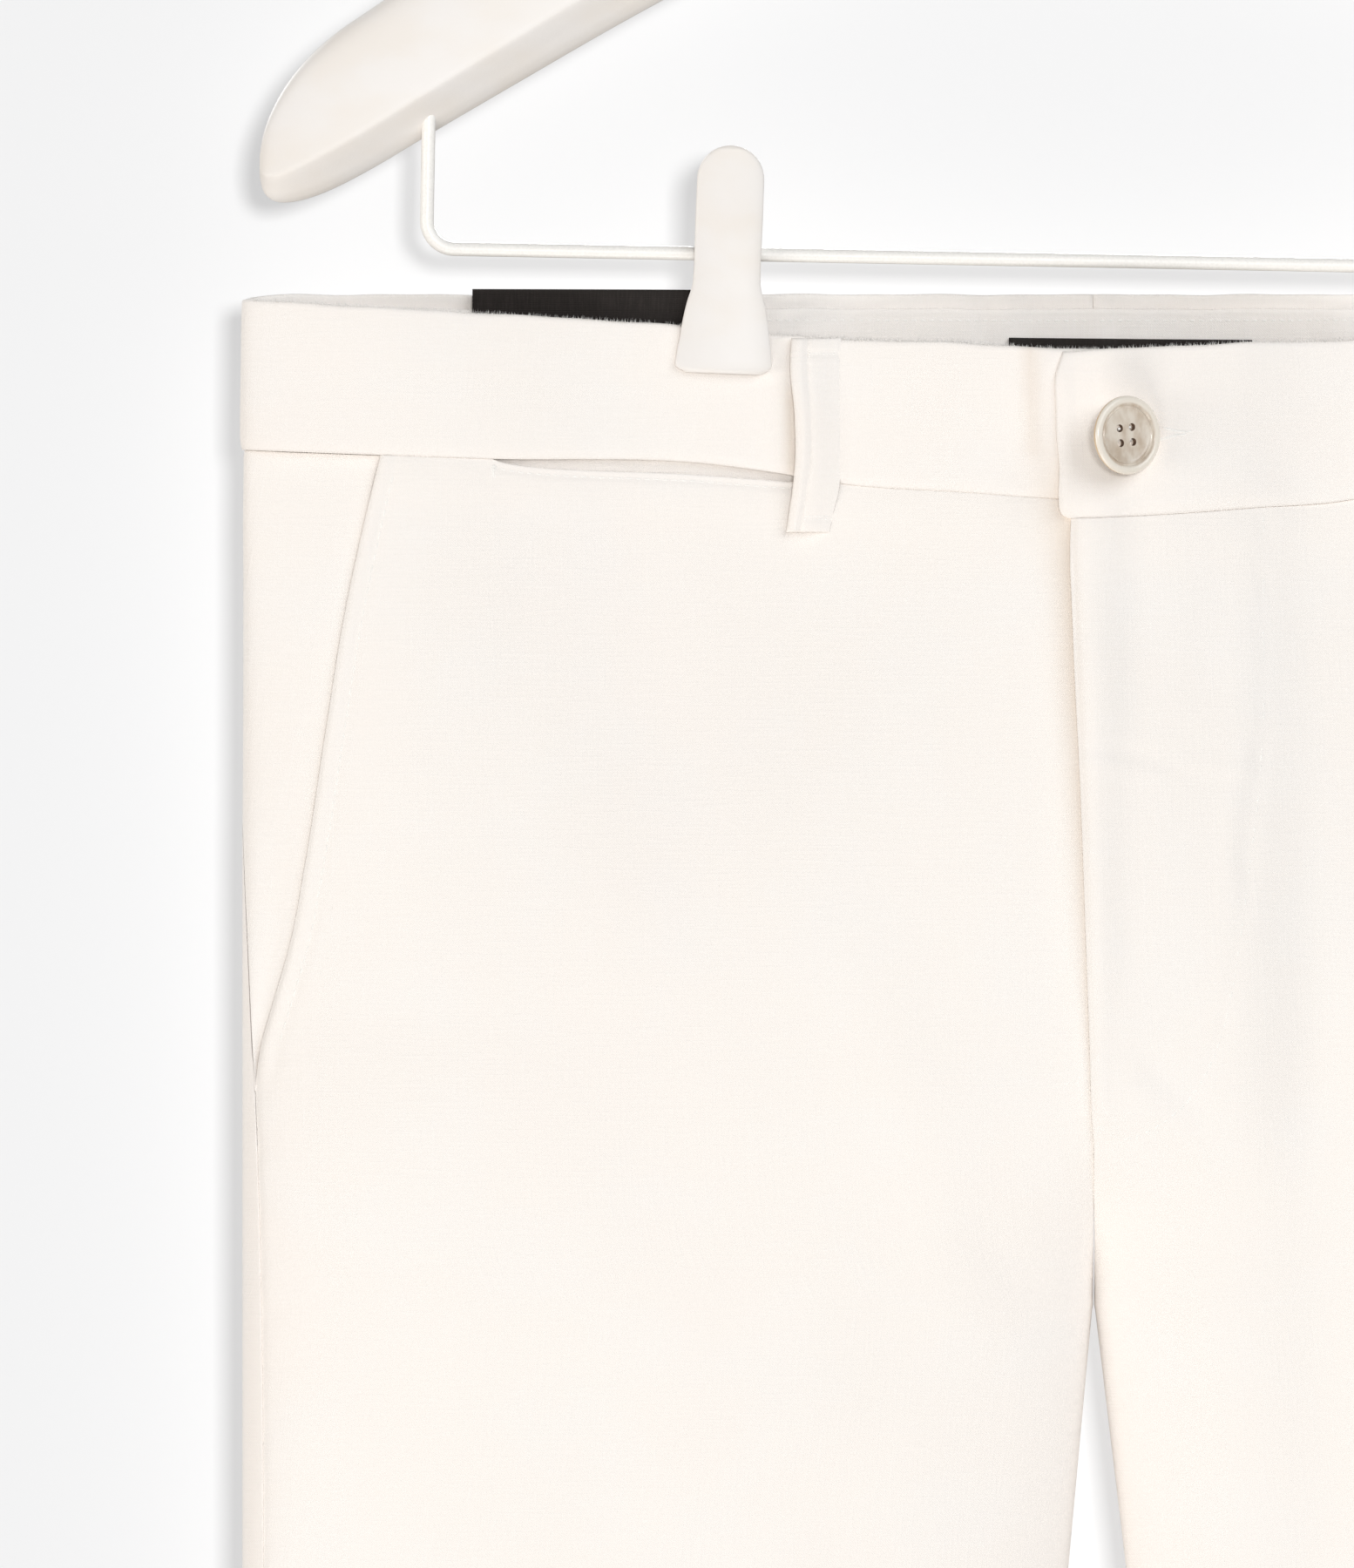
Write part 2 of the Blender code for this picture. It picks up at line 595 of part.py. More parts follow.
def make_labels(home):
    inside = BAND_BACK + LAYER + FACING + SEAM - BAND_PROUD
    for row, name in enumerate(LABELS["name"]):
        start = LABELS["start"][row] * MM
        x = np.linspace(start, start + LABELS["width"][row] * MM, 9)[None, :]
        top = LABELS["top"][row] * MM
        height = np.linspace(top, top - LABELS["height"][row] * MM, 4)[:, None]
        side = "right" if x.mean() < -HALF_WIDTH / 4 else "left"
        angle = -angle_at(side, SIGN[side] * x, height)
        faces = [cloth(side, angle, height, -inside - depth) for depth in (0.0, LABEL)]
        wall(name, *faces, home, SATIN)


def make_belt_loops(home):
    for row, name in enumerate(LOOPS["name"]):
        side = LOOPS["side"][row]
        front = LOOPS["face"][row] == "front"
        middle = LOOPS["across"][row] * MM
        across = middle + np.linspace(-0.5, 0.5, 3)[None, :] * LOOP_WIDTH
        stations = table(WAIST[side], "across")
        if front:
            top = follow(middle, stations, table(WAIST[side], "top"))
            foot = follow(middle, stations, table(WAIST[side], "seam")) - LOOP_BELOW
        else:
            top = BACK_TOP
            foot = BACK_SEAM - LOOP_BELOW
        top = top - LOOP_TOP
        t = np.linspace(0.0, 1.0, 11)[:, None]
        height = top + (foot - top) * t
        angle = angle_at(side, across, height) * (1 if front else -1)
        arch = LOOP_REST + LOOP_ARCH * np.sin(np.pi * t).clip(0.0) ** 0.7
        faces = [cloth(side, angle, height, arch + depth) for depth in (LOOP_THICK, 0.0)]
        wall(f"belt_loop_{name}", *faces, home)


# ---- button ----------------------------------------------------------------------
def turned(name, outline, steps, home, finish, parent=None, metallic=0.0):
    """A profile turned about its own Z axis."""
    mesh = bpy.data.meshes.new(name)
    points = [(radius, 0.0, height) for radius, height in outline]
    mesh.from_pydata(points, [(i, i + 1) for i in range(len(points) - 1)], [])
    piece = place(name, mesh, home, finish, metallic, parent)
    screw = piece.modifiers.new("turn", "SCREW")
    screw.steps = steps
    screw.render_steps = steps
    screw.use_merge_vertices = True
    screw.merge_threshold = 0.00001
    return piece


def cylinder(name, radius, low, high, sides, home, parent=None):
    """A plain round bar along its own Z axis."""
    mesh = bpy.data.meshes.new(name)
    shape = bmesh.new()
    bmesh.ops.create_cone(
        shape, cap_ends=True, segments=sides, radius1=radius, radius2=radius, depth=high - low
    )
    bmesh.ops.translate(shape, verts=shape.verts, vec=(0.0, 0.0, (high + low) / 2))
    shape.to_mesh(mesh)
    shape.free()
    return place(name, mesh, home, parent=parent)


def cut(piece, cutter):
    cutter.hide_render = True
    cutter.display_type = "WIRE"
    step = piece.modifiers.new(cutter.name, "BOOLEAN")
    step.operation = "DIFFERENCE"
    step.object = cutter


def make_button(home, cutters):
    x, height = BUTTON_CENTRE
    tab_x = x + BUTTON_RADIUS
    lift = BAND_PROUD + TAB_LIFT
    tab = cloth("left", angle_at("left", tab_x, height), height, lift)[1]
    reach = BUTTON_RADIUS * math.sin(BUTTON_TURN) + BUTTON_THICK / 2 * math.cos(BUTTON_TURN)
    y = tab - LAYER - reach
    seat = bpy.data.objects.new("button_seat", None)
    home.objects.link(seat)
    seat.location = (x, y, height)
    seat.rotation_euler = (math.pi / 2, 0.0, BUTTON_TURN)
    radius = table(BUTTON_OUTLINE, "radius")
    rise = table(BUTTON_OUTLINE, "height") - BUTTON_THICK / 2
    button = turned("button", list(zip(radius, rise)), 28, home, HORN, seat)
    for number in range(4):
        turn = BUTTON_SPIN + math.radians(45 + 90 * number)
        reach = BUTTON_HOLE_SQUARE * math.sqrt(2)
        cutter = cylinder(f"hole_{number}", BUTTON_HOLE, -5 * MM, 5 * MM, 10, cutters, seat)
        cutter.location = (reach * math.cos(turn), reach * math.sin(turn), 0.0)
        cut(button, cutter)
    behind = cloth("left", angle_at("left", x, height), height, lift)[1]
    slope = THREAD_RADIUS * math.tan(BUTTON_TURN) + BUTTON_THICK / 2 / math.cos(BUTTON_TURN)
    thread = cylinder("button_thread", THREAD_RADIUS, y + slope + SEAM, behind - SEAM, 12, home)
    thread.data.materials.append(material("button_thread", THREAD))
    thread.rotation_euler = (-math.pi / 2, 0.0, 0.0)
    thread.location = (x, 0.0, height)


# ---- hanger ----------------------------------------------------------------------
def wire(name, points, radius, home, parent, finish, metallic=0.0):
    """A round wire along a list of points, with flat ends."""
    curve = bpy.data.curves.new(name, "CURVE")
    curve.dimensions = "3D"
    curve.bevel_depth = radius
    curve.bevel_resolution = 2
    curve.use_fill_caps = True
    spline = curve.splines.new("POLY")
    spline.points.add(len(points) - 1)
    for spot, (x, z) in zip(spline.points, points):
        spot.co = (x, 0.0, z, 1.0)
    return place(name, curve, home, finish, metallic, parent)


def arc(centre, radius, start, stop, steps):
    """Points of an arc in the hanger's plane."""
    return [
        (centre[0] + radius * math.cos(turn), centre[1] + radius * math.sin(turn))
        for turn in np.linspace(start, stop, steps)
    ]


def make_hook(home, frame):
    """Over the rail, round, and back to the centre line by a reverse bend."""
    centre = (0.0, HOOK_WIRE - HOOK_BEND)
    over = arc(centre, HOOK_BEND, HOOK_END_TURN, -HOOK_BACK_TURN, 22)
    x, z = over[-1]
    back_bend = x / (1 - math.cos(HOOK_BACK_TURN))
    turn_centre = (back_bend, z - back_bend * math.sin(HOOK_BACK_TURN))
    back = arc(turn_centre, back_bend, math.pi - HOOK_BACK_TURN, math.pi, 7)
    wire("hanger_hook", over + back[1:] + [(0.0, HOOK_FOOT)], HOOK_WIRE, home, frame, STEEL, 1.0)


def make_rod(home, frame):
    """Down from one arm, along under both clips and up into the other arm."""
    inner = ROD_HALF - ROD_BEND
    low = ROD_HEIGHT + ROD_BEND
    right = arc((-inner, low), ROD_BEND, math.pi, 1.5 * math.pi, 7)
    left = arc((inner, low), ROD_BEND, 1.5 * math.pi, 2 * math.pi, 7)
    points = [(-ROD_HALF, ROD_TOP)] + right + left + [(ROD_HALF, ROD_TOP)]
    wire("hanger_rod", points, ROD_WIRE, home, frame, COATED_WIRE)


def make_body(home, cutters, frame):
    """The moulded shoulder body: one section carried from tip to tip."""
    near_tip = np.sqrt(table(ARM, "from_tip"))
    stations = np.linspace(near_tip[0], near_tip[-1], ARM_STATIONS)
    from_tip = stations ** 2
    shape = {}
    for name in ("top", "bottom", "front", "back"):
        shape[name] = follow(stations, near_tip, table(ARM, name))
    tip = ARM["from_tip"][-1] * MM
    rings = []
    for i in range(len(from_tip)):
        ring = []
        for depth, drop in zip(ARM_SECTION["depth"], ARM_SECTION["drop"]):
            y = depth * (shape["front"][i] if depth < 0 else shape["back"][i])
            z = shape["top"][i] + drop * (shape["bottom"][i] - shape["top"][i])
            ring.append((from_tip[i] - tip, y, z))
        rings.append(ring)
    rings += [[(-x, y, z) for x, y, z in ring] for ring in rings[-2::-1]]
    count = len(ARM_SECTION["depth"])
    mesh = bpy.data.meshes.new("hanger_body")
    shell = bmesh.new()
    verts = [[shell.verts.new(point) for point in ring] for ring in rings]
    for ring, after in zip(verts, verts[1:]):
        for i in range(count):
            shell.faces.new((ring[i], ring[(i + 1) % count], after[(i + 1) % count], after[i]))
    shell.faces.new(verts[0][::-1])
    shell.faces.new(verts[-1])
    bmesh.ops.recalc_face_normals(shell, faces=shell.faces)
    shell.to_mesh(mesh)
    shell.free()
    mesh.shade_smooth()
    body = place("hanger_body", mesh, home, PLASTIC, parent=frame)
    for name, x in (("rod_bore_right", -ROD_HALF), ("rod_bore_left", ROD_HALF)):
        radius = ROD_WIRE + BORE_PLAY
        bore = cylinder(name, radius, ROD_HEIGHT, ROD_TOP + BORE_PLAY, BORE_SIDES, cutters, frame)
        bore.location = (x, 0.0, 0.0)
        cut(body, bore)
    radius = HOOK_WIRE + BORE_PLAY
    depth = HOOK_FOOT - BORE_PLAY
    cut(body, cylinder("hook_bore", radius, depth, HOOK_BORE_TOP, BORE_SIDES, cutters, frame))


def plate_faces(front):
    """Outer and inner grid of a clip plate, rod at the origin: domed top, flared jaw."""
    dome = np.radians([80, 60, 40, 20])
    drop = np.concatenate([CLIP_DOME * (1 - np.sin(dome)), table(CLIP_PLATE, "drop")])
    half = np.concatenate([CLIP_DOME * np.cos(dome), table(CLIP_PLATE, "half")])
    first = table(CLIP_PLATE, "stand")[0]
    top_stand = CLIP_TOP_STAND + (first - CLIP_TOP_STAND) * drop[:4] / CLIP_DOME
    stand = np.concatenate([top_stand, table(CLIP_PLATE, "stand")])
    v = np.linspace(-1.0, 1.0, 5)
    x = half[:, None] * v
    y = stand[:, None] + CLIP_CROWN * (1 - v ** 2) * (half / CLIP_DOME)[:, None]
    if not front:
        y = y + BACK_PLATE_EXTRA
    z = CLIP_ABOVE_ROD - drop[:, None] + 0 * x
    facing = -1 if front else 1
    return [np.stack([x, facing * (y + depth), z], axis=-1) for depth in (CLIP_THICK, 0.0)]


def make_clips(home, frame):
    for row, name in enumerate(CLIPS["name"]):
        seat = bpy.data.objects.new(name + "_seat", None)
        home.objects.link(seat)
        seat.parent = frame
        seat.location = (CLIPS["along"][row] * MM, 0.0, ROD_HEIGHT)
        seat.rotation_euler = (0.0, math.radians(CLIPS["lean"][row]), 0.0)
        for face in ("front", "back"):
            plate = wall(f"{name}_{face}", *plate_faces(face == "front"), home, PLASTIC)
            plate.parent = seat
        bore = ROD_WIRE + BORE_PLAY
        ring = [(bore, -SLEEVE_HALF), (bore, SLEEVE_HALF), (SLEEVE_RADIUS, SLEEVE_HALF)]
        ring += [(SLEEVE_RADIUS, -SLEEVE_HALF), (bore, -SLEEVE_HALF)]
        sleeve = turned(name + "_sleeve", ring, 20, home, STEEL, seat, 1.0)
        sleeve.rotation_euler = (0.0, math.pi / 2 - seat.rotation_euler.y, 0.0)


# ---- all of it -------------------------------------------------------------------
def main():
    for old in list(bpy.data.objects):
        bpy.data.objects.remove(old, do_unlink=True)
    home = collection("bermuda_shorts")
    cutters = collection("cutters")
    make_panels(home)
    make_fly_underlap(home)
    make_coin_pocket(home)
    make_waistband(home)
    make_facing(home)
    make_labels(home)
    make_belt_loops(home)
    make_button(home, cutters)
    frame = bpy.data.objects.new("hanger_frame", None)
    home.objects.link(frame)
    frame.rotation_euler = (0.0, HANGER_TILT, 0.0)
    make_body(home, cutters, frame)
    make_hook(home, frame)
    make_rod(home, frame)
    make_clips(home, frame)


main()
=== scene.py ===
"""Linen bermuda shorts on a white clip hanger: the finished surfaces.

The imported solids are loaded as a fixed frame, in metres, with the origin where the
hanger's hook bears on its rail and the front of the shorts facing -Y. Every cloth piece
is a thin shell on the same form as its solid, with its creases, seams and stitches.
Tables are in millimetres, and table() turns them into metres.
"""

import math

import bpy
import numpy as np
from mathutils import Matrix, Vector


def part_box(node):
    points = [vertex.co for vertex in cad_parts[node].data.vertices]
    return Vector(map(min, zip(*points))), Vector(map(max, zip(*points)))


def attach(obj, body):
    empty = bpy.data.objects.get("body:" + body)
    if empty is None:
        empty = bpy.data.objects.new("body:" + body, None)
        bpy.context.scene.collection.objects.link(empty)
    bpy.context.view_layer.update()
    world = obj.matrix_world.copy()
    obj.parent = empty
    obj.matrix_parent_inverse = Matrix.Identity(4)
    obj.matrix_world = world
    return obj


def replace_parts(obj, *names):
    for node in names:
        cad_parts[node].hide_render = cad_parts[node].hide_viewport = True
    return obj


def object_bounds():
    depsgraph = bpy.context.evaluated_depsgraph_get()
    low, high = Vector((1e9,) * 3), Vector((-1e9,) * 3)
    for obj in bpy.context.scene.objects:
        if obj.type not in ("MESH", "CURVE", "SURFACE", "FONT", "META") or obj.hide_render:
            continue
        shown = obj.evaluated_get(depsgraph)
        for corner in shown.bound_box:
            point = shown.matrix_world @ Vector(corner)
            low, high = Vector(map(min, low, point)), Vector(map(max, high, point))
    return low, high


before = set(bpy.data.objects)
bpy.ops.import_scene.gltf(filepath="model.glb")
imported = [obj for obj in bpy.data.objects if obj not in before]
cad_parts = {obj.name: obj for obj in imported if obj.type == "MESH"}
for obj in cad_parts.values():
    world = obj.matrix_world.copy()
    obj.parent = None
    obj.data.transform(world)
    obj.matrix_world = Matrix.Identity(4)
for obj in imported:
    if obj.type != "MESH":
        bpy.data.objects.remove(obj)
CAD_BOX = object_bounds()

bl_info = {
    "name": "Linen Bermuda Shorts",
    "version": (1, 0, 0),
    "blender": (4, 5, 0),
    "location": "3D View > Sidebar > Shorts",
    "description": "Finished cloth, stitching, button and clip hanger for linen bermuda shorts",
    "category": "Object",
}

MM = 0.001
BODY = "root"

# ---- the form, as the solids have it ---------------------------------------------
HALF_WIDTH = 217.4 * MM
CROTCH_HEIGHT = -493.3 * MM
HEM_HEIGHT = -760.0 * MM
FORK_HEIGHT = 78.0 * MM
FORK_GAP = 0.6 * MM
LEG_SPREAD = {"right": 0.092, "left": 0.120}
ROUNDNESS = 3.0
PANEL = 1.2 * MM
BAND = 2.0 * MM
BAND_BACK = 1.2 * MM
BAND_PROUD = 0.4 * MM
FACING = 1.0 * MM
LABEL = 1.0 * MM
SEAM = 0.3 * MM
LAYER = 0.5 * MM

# Half depths of the hollow by height, from the middle plane to the cloth.
FORM = {
    "height": (-760, -640, -560, -493, -430, -380, -330, -285, -235),
    "front": (19, 19, 19, 20, 20, 19, 16, 12, 10),
    "back": (26, 27, 28, 30, 31, 28, 22, 15, 12),
}

# Top edge and lower edge of the front waistband, by the distance from the centre.
WAIST = {
    "right": {
        "across": (-30, 0, 9, 33, 64, 82, 98, 155, 184, 217.4),
        "top": (-249, -249.2, -249, -247.4, -246.4, -245.2, -243.6, -239.9, -238.2, -236.2),
        "seam": (-288, -287.8, -287.3, -285.6, -283.4, -280.4, -278.3, -277, -276, -274.7),
    },
    "left": {
        "across": (-12, 5, 20, 41, 63, 82, 106, 155, 184, 217.4),
        "top": (-249.8, -249, -248.3, -247.3, -246.7, -245.2, -243, -239.9, -238.2, -236.2),
        "seam": (-292.5, -292, -291.2, -289.6, -287.9, -284, -280.2, -277.2, -276, -274.7),
    },
}
SIDE_WAIST_SEAM = -274.7 * MM
SIDE_TOP = -236.2 * MM
BACK_TOP = -234.9 * MM
BACK_SEAM = -273.0 * MM
UNDERLAP_END = 28.0 * MM
TOP_ROLL = 0.6 * MM             # height of the rounded fold along the band's top
TAB_LIFT = BAND + LAYER
LIFT_FADE = (34.0 * MM, 56.0 * MM)
BAND_ROLL = {"right": 0.36 * MM, "left": 0.12 * MM}     # how far its lower edge turns in
BAND_COLUMNS, BAND_ROWS = 420, 22
# The tab's end: how far past the centre by the share of the band's height.
TAB_END = {
    "share": (0, 0.03, 0.12, 0.3, 0.48, 0.68, 0.9, 0.96, 0.985, 1),
    "past": (7.9, 8.4, 9.5, 9.4, 9.1, 8.3, 8.2, 7.9, 7.3, 6.1),
}

MOUTH = {
    "height": (-437.3, -426.7, -416.7, -399.8, -381.3, -347.6, -314.2, -293.8, -274),
    "across": (214.4, 212.9, 210.0, 205.1, 201.6, 196.4, 191.0, 186.7, 182.0),
}
MOUTH_FOOT = -437.3 * MM
POCKET_UNDER = 13.0 * MM
FACING_FOOT = -438.5 * MM
SIDE_SEAM = {
    "height": (-760, -450, -437, -424, -402, -387, -370, -340, -270),
    "inset": (3.6, 3.6, 3.1, 2.4, 1.4, 0.7, 0.05, -0.8, -1.6),
}
FLY = {
    "height": (-453, -450, -445, -430, -364, -343, -315, -290),
    "past": (-0.15, 0.05, 0.5, 1.0, 2.9, 3.6, 4.7, 5.6),
}
FLY_FOOT = -453.0 * MM
FLY_LIFT = PANEL + 0.8 * MM
FLY_FADE = (-478.0 * MM, -438.0 * MM)
UNDERLAP_FOOT = -428.0 * MM
SLIT_START = 70.0 * MM
SLIT_END = 153.0 * MM
SLIT_DROP = 3.2 * MM
COIN_TOP = 7.0 * MM
COIN_DROP = 22.0 * MM
CLIP_ACROSS = 94.7 * MM
JAW_HALF = 14.0 * MM
PINCH_EASE = 78.0 * MM
PINCH_HEIGHTS = (-425.0 * MM, -258.0 * MM)
PINCH_FRONT = 2.5 * MM
PINCH_BACK = 3.0 * MM
PANEL_COLUMNS = 150
SEAM_FADE = 126.3 * MM          # the rows level out this far below the waist seam

# Folds and creases: a soft trough or ridge along a line on one face. bow curves the
# line sideways, and lip adds a shallow counter fold beside it.
CREASES = {
    "columns": ("face", "from_x", "from_z", "to_x", "to_z", "width", "push", "bow", "lip"),
    "rows": (
        # the largest folds, which the solids have too
        ("front", -121, -552, -62, -512, 13, 1.6, 0, 0),
        ("front", 57, -330, 61, -740, 12, -2.2, 0, 0),
        ("front", 150, -560, 90, -520, 14, 1.5, 0, 0),
        ("front", -150, -640, -120, -745, 16, -1.4, 0, 0),
        ("back", -60, -300, -110, -460, 16, -2.2, 0, 0),
        ("back", 75, -300, 120, -450, 15, -2.0, 0, 0),
        ("back", 140, -560, 110, -740, 17, -2.0, 0, 0),
        ("back", -150, -590, -95, -540, 15, 2.0, 0, 0),
        # beside the tab and the fly
        ("front", -12.6, -244, -9.5, -292, 4.2, 1.7, -0.8, 0.6),
        ("front", -1, -276, 0.5, -345, 7, 2.6, 0, 0.3),
        ("front", 0, -332, 1, -418, 6, 1.9, 0, 0.3),
        ("front", -26, -252, -20, -286, 5, -0.35, 1, 0.3),
        ("front", 1.2, -252, 0.4, -268, 1.6, -0.35, 0.4, 0.6),
        ("front", 40, -262, 52, -286, 5, -0.3, 1, 0.4),
        # the back of the waistband, seen over the front's top edge
        ("back", -28.7, -230, -26, -264, 2.6, 0.7, 0.6, 0.7),
        ("back", -16.2, -230, -18, -268, 3.0, 0.6, -0.4, 0.6),
        ("back", 7.1, -230, 6, -262, 2.4, 0.55, 0.5, 0.7),
        ("back", -64, -230, -61, -258, 4.0, -0.4, 0.5, 0.5),
        ("back", 58, -230, 55, -266, 3.6, 0.5, 0.8, 0.5),
        # across the fly, and down its stitching
        ("front", -1, -351, 22, -355, 1.7, -0.38, 0, 0.9),
        ("front", 18, -354, 42, -358, 1.5, 0.30, 0, 0.9),
        ("front", 42.7, -346, 40.6, -359, 1.5, -0.5, 0.6, 0.8),
        ("front", 40.6, -357, 38.2, -387, 2.0, -0.55, 1.2, 0.7),
        ("front", 12, -428, 30, -446, 4, -0.5, 1, 0.4),
        ("front", 4, -478, 24, -520, 6, -0.7, -2, 0.4),
        ("front", 2, -480, 5, -488, 2.6, -0.5, 0, 0.5),
        ("front", 33, -300, 30, -340, 7, -0.5, 1, 0.2),
        # side panel beside the pocket mouth
        ("front", -212, -283, -206, -299, 2.2, -0.35, 0.5, 0.6),
        ("front", -200, -284, -198, -303, 2.4, -0.3, 0.4, 0.6),
        ("front", -216, -306, -209, -317, 2.4, -0.35, 0.4, 0.5),
        ("front", -212, -372, -207, -402, 3.0, -0.4, 0.5, 0.5),
        ("front", -214, -330, -204, -352, 3.6, 0.3, 0.8, 0.3),
        # soft lines over the wide front
        ("front", -176, -300, -168, -420, 11, 0.45, 3, 0.2),
        ("front", -140, -296, -150, -372, 7, -0.35, 2, 0.3),
        ("front", -104, -292, -92, -385, 9, 0.4, -3, 0.2),
        ("front", -60, -296, -52, -372, 8, -0.35, 2, 0.3),
        ("front", -64, -400, -36, -488, 10, 0.5, -4, 0.2),
        ("front", -30, -470, -8, -500, 7, -0.6, 1, 0.3),
        ("front", -176, -470, -182, -600, 12, -0.6, 4, 0.2),
        ("front", -128, -600, -96, -566, 8, -0.6, -2, 0.4),
        ("front", -84, -560, -40, -590, 9, 0.5, 3, 0.2),
        ("front", -50, -610, -60, -735, 12, 0.8, -4, 0.2),
        ("front", -90, -640, -84, -752, 9, -0.6, 2, 0.3),
        ("front", -190, -660, -176, -750, 9, 0.6, 2, 0.3),
        ("front", 88, -300, 80, -440, 10, 0.5, 3, 0.2),
        ("front", 128, -296, 138, -390, 9, -0.5, 2, 0.3),
        ("front", 176, -300, 168, -440, 11, 0.5, -3, 0.2),
        ("front", 34, -500, 30, -640, 10, 0.6, 3, 0.2),
        ("front", 120, -470, 150, -510, 8, -0.6, 2, 0.4),
        ("front", 176, -560, 186, -720, 12, -0.6, -3, 0.2),
        ("front", 100, -600, 110, -750, 13, 0.8, 3, 0.2),
        ("front", 140, -640, 146, -752, 8, -0.6, -2, 0.3),
        # the seat and the backs of the legs
        ("back", -20, -290, -32, -420, 9, 1.1, 3, 0.3),
        ("back", 24, -288, 40, -400, 8, 1.0, -3, 0.3),
        ("back", -120, -286, -128, -380, 8, 0.8, 2, 0.3),
        ("back", -176, -290, -186, -420, 10, -0.9, -3, 0.3),
        ("back", 150, -288, 160, -400, 9, 0.9, 3, 0.3),
        ("back", 186, -300, 180, -430, 8, -0.8, 2, 0.3),
        ("back", -10, -452, -60, -486, 7, -1.3, 4, 0.5),
        ("back", 10, -456, 66, -494, 8, -1.3, -4, 0.5),
        ("back", -14, -476, -50, -520, 6, 1.1, 2, 0.4),
        ("back", 16, -480, 48, -528, 6, 1.1, -2, 0.4),
        ("back", -24, -500, -84, -548, 5, -0.7, 3, 0.5),
        ("back", 26, -512, 92, -552, 5.5, -0.7, -3, 0.5),
        ("back", -110, -560, -104, -700, 11, -1.2, 4, 0.3),
        ("back", -60, -580, -66, -740, 10, 1.1, -3, 0.2),
        ("back", 60, -560, 54, -700, 11, -1.2, 3, 0.3),
        ("back", 176, -520, 170, -660, 10, 1.0, 3, 0.2),
        ("back", -186, -620, -180, -748, 9, -1.0, 2, 0.3),
        ("back", -150, -430, -120, -470, 6, -0.7, 2, 0.5),
        ("back", 138, -420, 112, -476, 6, 0.7, -2, 0.4),
        ("back", 96, -640, 132, -664, 5, -0.6, 2, 0.5),
        ("back", -136, -664, -100, -640, 5, 0.6, -2, 0.4),
        ("back", -200, -470, -188, -560, 6, 0.6, 2, 0.4),
        ("back", 204, -560, 196, -640, 6, -0.6, -2, 0.4),
    ),
}
LARGE_FOLD = 1.3                # a fold that pushes more than this keeps its depth at every setting
# Soft shade painted into the colour of the right half's cloth where it tucks under the loop, the tab and the
# fly: a line, the width of the shade at both its ends, and how deep it is there.
SHADES = {
    "columns": ("from_x", "from_z", "to_x", "to_z", "from_width", "to_width", "from_deep", "to_deep"),
    "rows": (
        (-5.8, -284, -1.0, -430, 7.0, 1.3, 0.62, 0.22),
        (-16.4, -248, -15.6, -276, 2.2, 2.4, 0.30, 0.22),
        (-77.4, -260, -77.0, -281, 1.5, 1.7, 0.45, 0.4),
    ),
}
# Slow unevenness of hung cloth: each row is a wave of its own length, slant and start.
SWAY = {
    "length": (171, 118, 83, 61, 43, 31),
    "slant": (0.25, -0.6, 1.15, -1.3, 0.5, -0.15),
    "start": (0.3, 1.9, 4.1, 2.6, 5.2, 0.9),
    "height": (0.30, 0.26, 0.20, 0.14, 0.09, 0.05),
}

# ---- pieces on the cloth ------------------------------------------------------------
LOOPS = {
    "name": ("front_right", "front_left", "back_right", "back_left", "back_centre"),
    "side": ("right", "left", "right", "left", "left"),
    "face": ("front", "front", "back", "back", "back"),
    "across": (70.7, 73.2, 150.0, 150.0, 0.0),
}
# A loop from its top to its foot: how far it leans aside and how wide it is.
LOOP_SHAPE = {
    "share": (0, 0.12, 0.4, 0.62, 0.8, 0.93, 1),
    "aside": (0.1, 0.3, -0.4, -0.5, 0.3, 1.6, 2.2),
    "width": (11.8, 11.9, 10.9, 10.8, 10.9, 10.3, 10.2),
}
LOOP_THICK = 1.6 * MM
LOOP_BELOW = 13.0 * MM
LOOP_ARCH = 2.4 * MM
LOOP_TOP = 0.5 * MM
LOOP_REST = 0.9 * MM
LABELS = {
    "name": ("label_side", "label_centre"),
    "start": (-158.0, -21.8),
    "width": (63.0, 62.7),
    "top": (-233.9, -246.3),
    "fall": (0.3, 0.6),
    "height": (24.0, 24.0),
}
FACING_TOP = 4.0 * MM
FACING_REACH = 205.0 * MM
FACING_ROW = 6.6 * MM           # from the band's top down to the facing's stitches
HEM_DEPTH = 30.0 * MM
HEM_LINE = HEM_HEIGHT + HEM_DEPTH
HEM_EXTRA = 0.5 * MM            # the turned-up layer adds this much outside
STITCH = 2.9 * MM               # from one stitch to the next
STITCH_LENGTH = 2.0 * MM
THREAD = 0.26 * MM              # radius of the topstitching thread
MOUTH_STITCH = 4.9 * MM         # from the pocket mouth to its topstitching
TAB_FACE = BAND_PROUD + TAB_LIFT + 0.3 * MM     # from the form to the tab's outer face
FIBRES = 1500                   # loose fibres on each half of the top edge
FIBRE = 0.075 * MM
# The curved row that holds the fly's facing, across and height.
FLY_STITCH = {
    "x": (43, 43, 42.8, 41.4, 38.8, 36.2, 32.8, 28.6, 24, 17.5, 10.4, 0.3),
    "z": (-291, -320, -348, -366, -386, -405, -422.5, -433.5, -440.5, -446.3, -449.9, -451.6),
}

# ---- the button -----------------------------------------------------------------------
BUTTON_TURN = math.radians(34)
BUTTON_SPIN = math.radians(5)
BUTTON_THICK = 2.7 * MM
BUTTON_HOLE = 1.0 * MM
BUTTON_HOLE_SQUARE = 1.9 * MM
